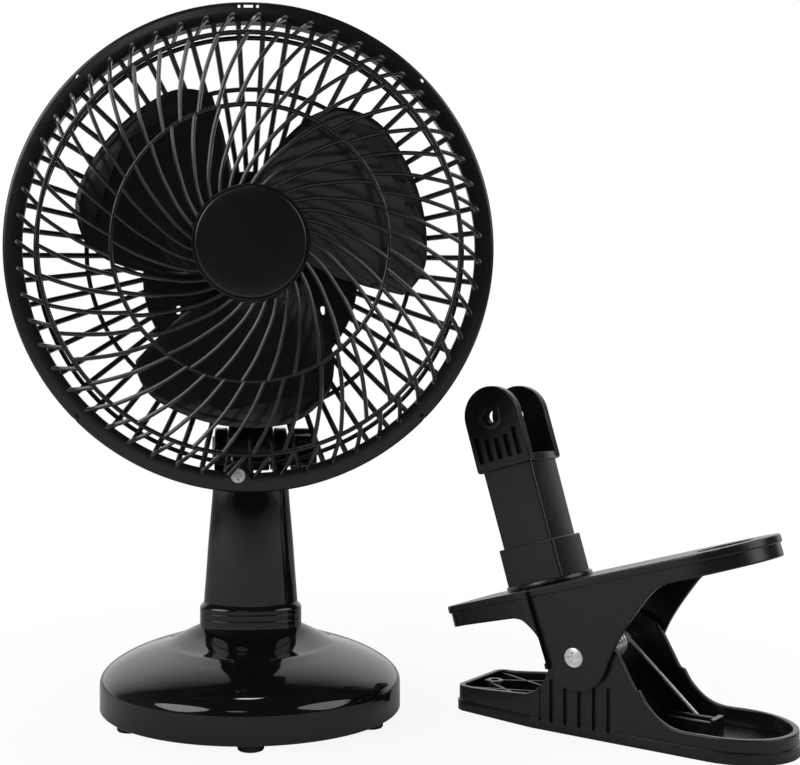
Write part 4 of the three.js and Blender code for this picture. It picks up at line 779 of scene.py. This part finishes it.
def makePropeller():
    # share runs from the trailing edge, in front, to the leading edge, behind; rise from hub to tip
    share = np.linspace(0, 1, 44)
    rise = np.linspace(0, 1, 34)[:, None]
    corner = np.clip((np.abs(2 * share - 1) - 0.58) / 0.42, 0, 1) ** 2.6 * fan["corner"]
    radius = fan["root"] + rise * (fan["tip"] - corner - fan["root"])
    low, high = [np.interp(radius, *np.array(fan[k]).T) for k in ("trailing", "leading")]
    turn = low + share * (high - low)
    out = (radius - fan["root"]) / (fan["tip"] - fan["root"])
    pitch = fan["sweep"] * (1.04 - 0.16 * out)
    y = fan["front"] + pitch * (share + 0.13 * np.sin(np.pi * share)) - 0.6 * out ** 2
    edge = np.minimum(np.minimum(share, 1 - share) * 26, (1 - rise) * 20)  # how near to full thickness
    half = fan["thick"] / 2 * (0.3 + 0.7 * np.sqrt(np.clip(edge, 0, 1)))
    shells = []
    for number in range(fan["blades"]):
        a = np.radians(turn + number * 360 / fan["blades"])
        front, back = [np.stack([radius * np.sin(a), y + s * half, radius * np.cos(a)], -1) for s in (-1, 1)]
        shells.append((np.concatenate([front, back[:, ::-1]], 1), False))
    shells.append(lathe(fan["hub"], "y", 96))
    makePiece("propellerBlades", shells, onHead, "rotor", "blade_black", ["propeller"], 40)


makePropeller()

# motor housing
motor = {  # rings are (y, share of the full outline); the arm's levels are (height, half width, front, back)
    "half": (26.5, 31.0), "square": 2.6, "drop": 10, "innerBack": 35.8,
    "rings": [(-2.3, 0.996), (-1.9, 1.0), (2, 1.0), (12, 0.997), (20, 0.99), (20.3, 0.982), (20.9, 0.982),
              (21.2, 0.989), (26, 0.98), (31, 0.955), (34.5, 0.915), (36.6, 0.86), (37.7, 0.80), (38, 0.74)],
    "louvres": (-15, -9, -3, 3, 9, 15), "louvreHeight": 6.5,
    "arm": [(-33, 11, 1.7, 16.7), (-42, 11, 0.8, 15.6), (-54, 10.8, -1.2, 12.8), (-63.5, 10.2, -3.2, 11.2),
            (-66.2, 9.0, -4.4, 10.6), (-67.2, 7.4, -5.0, 10.3)],
    "bolt": (1, -77.4), "tongue": 8.2, "tongueHalf": 7.3}
dial = {
    "disc": [(0.05, 38.3), (8.3, 38.3), (8.5, 38.5), (8.5, 40.5), (8.3, 41.0), (7.8, 41.3), (0.05, 41.3)],
    "stem": [(0.05, 32.3), (2.2, 32.3), (2.2, 39.3), (0.05, 39.3)], "grip": (2.0, 6.9), "gripEnds": (40.3, 47.3)}
gland = {
    "drop": 29,
    "profile": [(2.0, 32.8), (3.5, 32.8), (3.5, 38.3), (5.0, 38.3), (4.9, 39.2), (4.4, 40.6), (4.1, 41.0),
                (2.7, 41.0), (2.2, 40.6), (2.0, 40.0)]}


def makeHousing():
    rings = np.array(motor["rings"])
    plan = oval(*motor["half"], motor["square"], 120)
    wall = pile([plan * share - [0, motor["drop"]] for share in rings[:, 1]], rings[:, 0])[..., [0, 2, 1]]
    inner = wall[::-1] * [0.93, 1, 0.93] + [0, 0, -0.7]
    inner[..., 1] = np.clip(inner[..., 1], rings[0, 0], motor["innerBack"])
    lidOut = np.stack([wall[-1] * [k, 1, k] - [0, 0, motor["drop"] * (1 - k)] for k in (0.6, 0.3, 0.02)])
    lidIn = np.stack([inner[0] * [k, 1, k] - [0, 0, motor["drop"] * (1 - k)] for k in (0.02, 0.5)])
    shell = np.concatenate([wall, lidOut, lidIn, inner]), True
    body = newMesh("housing", [shell], onHead)
    stem = lathe([(0.05, 33), (2.5, 33), (2.5, 39), (0.05, 39)], "y", 32)
    hole = lathe([(0.05, 33), (3.8, 33), (3.8, 39), (0.05, 39)], "y", 32)
    cutters = [(stem[0] - [0, 0, motor["drop"]], False), (hole[0] - [0, 0, gland["drop"]], False)]
    slot = slab(roundedBox(0.9, 4.5, 0.85, 5), 37.2, 39, 0.01, "y")[0]
    cutters += [(slot + [x, 0, motor["louvreHeight"]], False) for x in motor["louvres"]]  # above the dial
    body = cutAway(body, newMesh("openings", cutters, onHead))
    # the arm narrows from the housing to the tilt joint: rounded sections by height
    levels = curveThrough(motor["arm"], 40)
    plans = [oval(half, (back - front) / 2, 4.5, 100) + [0, (front + back) / 2]
             for _, half, front, back in levels]
    arm = pile(plans, levels[:, 0]), False
    a = np.radians(np.linspace(180, 360, 48))
    end = motor["bolt"] + motor["tongue"] * np.stack([np.cos(a), np.sin(a)], -1)
    tongue = np.concatenate([end, [[9.2, -72], [8.6, -66], [-4.6, -66], [-7.2, -72]]])
    foot = newMesh("tongue", [slab(tongue, -motor["tongueHalf"], motor["tongueHalf"], 0.5, "x")], onHead)
    bore = boltHole(neck["bolt"])[0] + [0, *motor["bolt"]]
    foot = cutAway(foot, newMesh("bore", [(bore, False)], onHead))
    mesh = joined("motorHousing", [body, newMesh("arm", [arm], onHead), foot])
    finishPiece("motorHousing", mesh, "head", "guard_black", ["motor_housing"])
    grip = slab(roundedBox(*dial["grip"], 1.4, 6), *dial["gripEnds"], 0.6, "y")
    shells = [lathe(dial["disc"], "y", 72), grip, lathe(dial["stem"], "y", 24)]
    shells = [(points - [0, 0, motor["drop"]], closed) for points, closed in shells]
    makePiece("speedDial", shells, onHead, "dial", "guard_black", ["speed_knob"])
    points, closed = lathe(gland["profile"], "y", 48, True)
    points = points - [0, 0, gland["drop"]]
    makePiece("cordGland", [(points, closed)], onHead, "head", "rubber_black", ["cord_gland"])


makeHousing()

# clip
jaws = {"taper": 4.5, "taperLength": 36.0, "corner": 5.0}
lowerJaw = {  # a panel is middle, half width and depth, and the grooves stand in it
    "panel": (2.0, 17.6, 0.45), "grooves": (-10.4, -4.8, 0.9, 6.7, 12.3), "groove": (1.1, 1.9),
    "grooveHeight": (3.3, 19.5), "ribTop": 9.0, "ribWidth": 1.2, "studs": [(-20, 12), (-20, -12), (-47, 0)],
    "stud": [(1.5, 1.5), (3.4, 1.5), (3.4, 9.2), (3.2, 9.55), (2.9, 9.6), (1.8, 9.6), (1.5, 9.3)],
    "rest": [(24.5, 43, -3.6, -1.8, 1, 8.2), (24.5, 43, 3.4, 5.2, 1, 8.2), (42.4, 44.4, -3.6, 5.2, 1, 9.3),
             (24.5, 42.6, -3.0, 4.6, 1, 4.4)],
    # the wall's rows below its edge as (inset, height), down the outside with its foot and up the inside
    "outside": [(1.8, 0.0), (0.0, 0.0), (-0.35, 0.1), (-0.6, 0.35), (-0.6, 0.6), (-0.6, 3.8), (-0.5, 4.15),
                (0.0, 4.35), (0.0, 4.6)],
    "inside": [(2.2, 4.6), (2.2, 0.4), (2.0, 0.1), (1.84, 0.005)],
    "half": 22.5, "tip": -55.0, "end": 71.6, "wall": 2.2, "floor": 2.2,
    "edge": [(-50, 9.6), (-36, 10.8), (-24.5, 11.9), (-20.9, 12.5), (-17.2, 14.4), (-14.6, 17.2), (-12.6, 20.6),
             (-11.7, 24.5), (-11.4, 29.5), (-10.4, 34.3), (-7.9, 38.0), (-4.2, 40.3), (0, 40.9), (5.4, 40.4),
             (9.6, 38.8), (12.8, 36.6), (15.2, 33.0), (18.6, 26.9), (21.4, 21.7), (22.3, 20.7), (23.6, 20.2),
             (24.6, 18.6), (26.4, 15.8), (29.8, 12.3), (33.6, 9.9), (38.1, 8.7), (44, 8.6), (52, 9.0), (60, 9.2)]}
upperJaw = {
    "half": 25.5, "tip": -53.0, "end": 75.5, "wall": 2.2, "top": 27.1, "lip": 0.4, "lipDepth": 3.0,
    "seat": [(0.05, 24.4), (5.9, 24.4), (6.1, 24.5), (6.15, 24.8), (6.15, 28), (0.05, 28)],
    "finger": (9.5, 12, 2.3), "fingerAt": 56.5, "hole": 2.6,
    "edge": [(-48, 18.8), (-34, 18.3), (-24, 17.9), (-20.4, 17.6), (-17.2, 16.3), (-14.6, 13.2), (-12.8, 10.0),
             (-11.9, 6.6), (-11.5, 1.0), (-11.6, -3.6), (-10.9, -6.1), (-9.3, -8.4), (-6.9, -10.4), (-3.7, -11.9),
             (0, -12.5), (3.7, -11.9), (7.2, -10.2), (10.0, -7.5), (12.2, -4.4), (14.6, -1.6), (17.9, 2.2),
             (21.8, 6.0), (25.9, 9.5), (30.0, 12.8), (34.0, 15.8), (37.6, 17.9), (41.0, 19.0), (46, 19.3),
             (60, 19.2)]}


def jawPath(jaw, widen=0.0, longer=0.0, fine=150):
    # round a jaw: the near side to the handle's round end, back along the far side, and round the mouth
    half, tip, end = jaw["half"] + widen, jaw["tip"] - longer, jaw["end"] + longer
    reach, corner = half + 1.5, jaws["corner"]
    edge = curveThrough(jaw["edge"], fine)
    u = edge[:, 0]
    narrow = jaws["taper"] * np.clip((tip + jaws["taperLength"] - u) / (jaws["taperLength"] - corner), 0, 1)
    inSide = (u > tip + corner) & (u < end - reach)
    side = np.stack([u, -(half - narrow)], -1)[inSide]
    level = edge[:, 1][inSide]
    a = np.radians(np.linspace(-90, 90, 72))
    handle = np.stack([end - reach + reach * np.cos(a), half * np.sin(a)], -1)
    b = np.radians(np.linspace(90, 180, 12))
    tipHalf = half - jaws["taper"]
    mouth = np.stack([tip + corner + corner * np.cos(b), tipHalf - corner + corner * np.sin(b)], -1)
    plan = np.concatenate([side, handle, side[::-1] * [1, -1], mouth, mouth[::-1] * [1, -1]])
    height = np.concatenate([level, np.full(72, level[-1]), level[::-1], np.full(24, level[0])])
    # the edge's own normal in the side view, so that its rounding stays square to it where it is steep
    run = np.gradient(edge, axis=0)[inSide]
    run /= np.linalg.norm(run, axis=1, keepdims=True)
    push = np.concatenate([run, np.tile([1.0, 0.0], (72, 1)), run[::-1], np.tile([1.0, 0.0], (24, 1))])
    return plan, height, push


def jawWall(jaw, sign, outside, inside, longer=0.0):
    # the wall round a jaw, from its rows outside over the shaped edge to those inside; sign is 1 for an edge on
    # top and -1 for one below, and the edge's rows are (inset, depth) measured square to the edge's curve
    plan, level, push = jawPath(jaw, 0.0, longer)
    out = normals(plan)
    edge = [(0, 1.1), *roundEdge(0.45, 3, 0.25)]
    edge += [(jaw["wall"] - inset, depth) for inset, depth in edge[::-1]]
    shaped = [np.column_stack([plan[:, 0] + sign * push[:, 1] * depth - out[:, 0] * inset,
                               plan[:, 1] - out[:, 1] * inset, level - sign * push[:, 0] * depth])
              for inset, depth in edge]
    plain = [pile([plan - out * inset for inset, _ in rows], [height for _, height in rows])
             for rows in (outside, inside)]
    return np.concatenate([plain[0], shaped, plain[1]]), True


def pivotHole():
    # a round cutter through both walls of a jaw
    return lathe([(0.05, -40), (2.5, -40), (2.5, 40), (0.05, 40)], "y", 40)


def makeLowerJaw():
    jaw = lowerJaw
    wall = newMesh("wall", [jawWall(jaw, 1, jaw["outside"], jaw["inside"])], onClip)
    cutters = []
    low, high = jaw["grooveHeight"]
    for middle, halfWide, depth in [jaw["panel"], *[(middle, *jaw["groove"]) for middle in jaw["grooves"]]]:
        plan = roundedBox(halfWide, (high - low) / 2, 0.5, 5)
        slot = slab(plan, jaw["half"] - depth, jaw["half"] + 2, 0.02, "y")[0] + [middle, 0, (low + high) / 2]
        cutters += [(slot * [1, side, 1], False) for side in (-1, 1)]
    cutters.append((pivotHole()[0] + [0, 0, clipSpot["pivot"]], False))
    wall = cutAway(wall, newMesh("grooves", cutters, onClip), True)
    floorPlan = jawPath(jaw, -1.0, -1.0, 80)[0]
    shells = [slab(floorPlan, 0.0, jaw["floor"], 0.1)]
    end, side = jaw["tip"] + 3.4, jaw["half"] - 3.2
    for sign in (-1, 1):  # ribs that cross under the mouth
        for start, stop in (((end, sign * (side - jaws["taper"])), (-16, 0)), ((end, 0), (-20, sign * side))):
            shells.append(beam(start, stop, jaw["ribWidth"], 1, jaw["ribTop"]))
    stud = lathe(jaw["stud"], "z", 36, True)[0]
    shells += [(stud + [x, y, 0], True) for x, y in jaw["studs"]]
    shells += [block(*sizes) for sizes in jaw["rest"]]  # the channel before the handle
    mesh = joined("lowerJaw", [wall, newMesh("tray", shells, onClip)])
    finishPiece("lowerJaw", mesh, "clip_lower", "clip_black", ["clip_lower_jaw"])


def makeUpperJaw():
    jaw = upperJaw
    top, low, wall = jaw["top"] - 0.6, 22.8, jaw["wall"]
    skirt = newMesh("skirt", [jawWall(jaw, -1, [(0, top), (0, low)], [(wall, low), (wall, top)], -0.8)], onJaw)
    seat = lathe(jaw["seat"], "y", 72)[0]
    cutters = [pivotHole(), *[(seat * [1, side, 1], False) for side in (-1, 1)]]
    skirt = cutAway(skirt, newMesh("seats", cutters, onJaw))
    lipPlan = jawPath(jaw, jaw["lip"], 0.0, 110)[0]
    plate = newMesh("plate", [slab(lipPlan, jaw["top"] - jaw["lipDepth"], jaw["top"], 0.55)], onJaw)
    finger = slab(oval(*jaw["finger"], 90), 15, 35, 0.01)[0]
    hole = lathe([(0.05, 15), (jaw["hole"], 15), (jaw["hole"], 35), (0.05, 35)], "z", 32)[0]
    cutters = [(finger + [jaw["fingerAt"], 0, 0], False), (hole + [clipSpot["postAt"], 0, 0], False)]
    plate = cutAway(plate, newMesh("openings", cutters, onJaw))
    mesh = joined("upperJaw", [skirt, plate])
    finishPiece("upperJaw", mesh, "clip_upper", "clip_black", ["clip_upper_jaw"])


swivel = {
    "outer": 12.15, "inner": 10.75, "top": 43.7, "low": 28.2,
    "flange": [(2.6, 27.4), (16.7, 27.4), (17.0, 27.6), (17.0, 28.6), (16.8, 28.95), (16.3, 29.1), (2.6, 29.1)],
    "stud": [(2.6, 28.5), (5, 28.5), (5, 39.0), (4.8, 39.4), (2.6, 39.4)]}


def makeSwivel():
    # a square collar, its outside and then its inside, on a turned flange and a stud
    top, low = swivel["top"], swivel["low"]
    edge = roundEdge(0.4, 3)
    outer = carry(roundedBox(swivel["outer"], swivel["outer"], 1.1, 7), np.concatenate([[[0]], edge[:, :1]]),
                  np.concatenate([[[low]], top - edge[:, 1:]]))
    plan = roundedBox(swivel["inner"], swivel["inner"], 0.6, 7)
    collar = np.concatenate([outer, pile([plan] * 3, (top, top - 0.1, low))]), True
    shells = [collar, lathe(swivel["flange"], "z", 96, True), lathe(swivel["stud"], "z", 32, True)]
    makePiece("swivelBase", shells, onPost, "clip_swivel", "clip_black", ["clip_swivel_base"])


post = {
    "half": 10.55, "swell": 0.035, "start": 29.4, "hollow": (8.3, 28, 72.4),
    "bottom": 74.4, "hole": 95.2, "ear": 12.1, "out": 13.0, "slot": 9.2, "floor": 77.4,
    "grooveHalf": 1.3, "grooveStep": 4.3, "grooveDepth": 2.0,
    "bore": [(0.05, -40), (2.5, -40), (2.5, 12.2), (3.3, 12.2), (3.3, 40), (0.05, 40)],
    "ring": [(3.3, 12.6), (3.3, 13.3), (3.5, 13.45), (4.5, 13.45), (4.9, 13.3), (5.0, 13.0), (5.0, 12.6)]}


def makePost():
    # a square tube that swells slightly upwards
    bottom, r = post["bottom"], post["ear"]
    points, closed = slab(roundedBox(post["half"], post["half"], 0.9, 6), post["start"], bottom + 1.5, 0.3)
    points[..., :2] *= 1 + post["swell"] * smoothstep(points[..., 2:], 30, bottom * 1.2)
    half, low, high = post["hollow"]
    hollow = newMesh("hollow", [slab(roundedBox(half, half, 0.5, 4), low, high, 0.01)], onPost)
    meshes = [cutAway(newMesh("column", [(points, closed)], onPost), hollow)]
    # the ears: half round above, with grooves whose tops follow a shallow curve
    a = np.radians(np.linspace(0, 180, 60))
    foot = [(-r, bottom + 1.2), (-r + 0.35, bottom + 0.35), (-r + 1.2, bottom),
            (r - 1.2, bottom), (r - 0.35, bottom + 0.35), (r, bottom + 1.2)]
    outline = np.concatenate([np.stack([r * np.cos(a), post["hole"] + r * np.sin(a)], -1), foot])
    cutters = [lathe(post["bore"], "y", 48)[0] + [0, 0, post["hole"]]]
    for i in range(-2, 3):
        low, high = bottom + 3.6, bottom + 12.2 + 0.55 * i * i
        plan = roundedBox(post["grooveHalf"], (high - low) / 2, 0.35, 4)
        groove = slab(plan, post["out"] - post["grooveDepth"], 15, 0.02, "y")[0]
        cutters.append(groove + [post["grooveStep"] * i, 0, (low + high) / 2])
    ring = lathe(post["ring"], "y", 56, True)[0] + [0, 0, post["hole"]]
    extras = [block(-r + 0.2, r - 0.2, -post["slot"] - 0.5, post["slot"] + 0.5, bottom, post["floor"], 0.3)]
    for side in (-1, 1):
        low, high = sorted((side * post["slot"], side * post["out"]))
        ear = newMesh("ear", [slab(outline, low, high, 0.55, "y")], onPost)
        cuts = newMesh("grooves", [(points * [1, side, 1], False) for points in cutters], onPost)
        meshes.append(cutAway(ear, cuts))
        extras.append((ring * [1, side, 1], True))
    meshes.append(newMesh("rings", extras, onPost))
    finishPiece("clevisPost", joined("clevisPost", meshes), "clip_swivel", "clip_black", ["clip_post"])


spring = {"radius": 5.2, "wire": 0.75, "curls": 9, "pitch": 2.4, "upLeg": 66, "downLeg": -43, "upEnd": 23.65,
          "downEnd": 3.0}


def makeSpring():
    # a helix about the pivot with a straight leg at each end, up to the jaw's plate and down to the tray
    upLeg, downLeg = np.radians([spring["upLeg"], spring["downLeg"]])
    first, last = upLeg - np.pi / 2, downLeg + np.pi / 2
    sweep = spring["curls"] * 2 * np.pi - (last - first)
    share = np.linspace(0, 1, 300)
    a = first - sweep * share
    long = sweep / (2 * np.pi) * spring["pitch"]
    coil = np.stack([spring["radius"] * np.cos(a), long * (share - 0.5), spring["radius"] * np.sin(a)], -1)

    def leg(start, angle, normal, distance):
        run = np.array([np.cos(angle), 0, np.sin(angle)])
        length = (distance - start @ normal) / (run @ normal)
        return start + run * np.linspace(0, length, 14)[1:, None]

    lean = clipSpot["recline"]
    up = leg(coil[0], upLeg, np.array([-np.sin(lean), 0, np.cos(lean)]), spring["upEnd"])
    down = leg(coil[-1], downLeg, np.array([0.0, 0, 1]), spring["downEnd"] - clipSpot["pivot"])
    path = np.concatenate([up[::-1], coil, down])
    wire = tube(path, spring["wire"])
    makePiece("clipSpring", [wire], onPivot, "clip_lower", "spring_steel", ["clip_spring"], 60)


pivot = {
    "head": (3.6, 1.0, 0.7), "seat": -24.8,
    "shank": [(0.05, -25.0), (2.2, -25.0), (2.2, 28.2), (1.9, 28.5), (0.05, 28.5)],
    "nutHalf": 3.46, "nutHole": 2.5,
    "nutEdge": [(0.5, 24.8), (0.15, 24.85), (0, 25.1), (0, 27.5), (0.15, 27.75), (0.5, 27.8)]}


def makePivot():
    head, closed = faceFront(crossHead(*pivot["head"]))
    shells = [(head + [0, pivot["seat"], 0], closed), lathe(pivot["shank"], "y", 32)]
    makePiece("pivotScrew", shells, onPivot, "clip_lower", "zinc", ["clip_pivot_screw"])
    # the nut: a hexagon is its half width over the cosine of the angle from its nearest flat
    a = np.linspace(0, 2 * np.pi, 96, endpoint=False)
    circle = np.stack([np.cos(a), np.sin(a)], -1)
    hexagon = pivot["nutHalf"] / np.cos((a + np.pi / 6) % (np.pi / 3) - np.pi / 6)
    inset, level = np.hsplit(np.array(pivot["nutEdge"]), 2)
    outer = carry(circle * hexagon[:, None], inset, level)
    hole = pile([circle * pivot["nutHole"]] * 2, (level[-1, 0], level[0, 0]))
    nut = np.concatenate([outer, hole])[..., [0, 2, 1]], True
    makePiece("pivotNut", [nut], onPivot, "clip_lower", "zinc", ["clip_pivot_nut"])


makeLowerJaw()
makeUpperJaw()
makeSwivel()
makePost()
makeSpring()
makePivot()

# finishes for the CAD nodes that stay
carried = {
    "base_plate": guardBlack, "base_weight": castIron, "tilt_bolt": zinc, "tilt_nut": zinc,
    "motor_shaft": zinc, "rotor_core": lamination, "stator_core": lamination,
    "stator_coil": copperWire, "front_bracket": lamination, "rear_bracket": lamination, "front_bush": bronze,
    "rear_bush": bronze, "speed_switch": rubber}
for name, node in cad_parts.items():
    chosen = carried.get(name, zinc if "screw" in name or "washer" in name else None)
    if chosen:
        node.data.materials.clear()
        node.data.materials.append(chosen)
print("carried nodes finished")

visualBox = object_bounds()
plain = [[[float(value) for value in corner] for corner in box] for box in (cadBox, visualBox)]
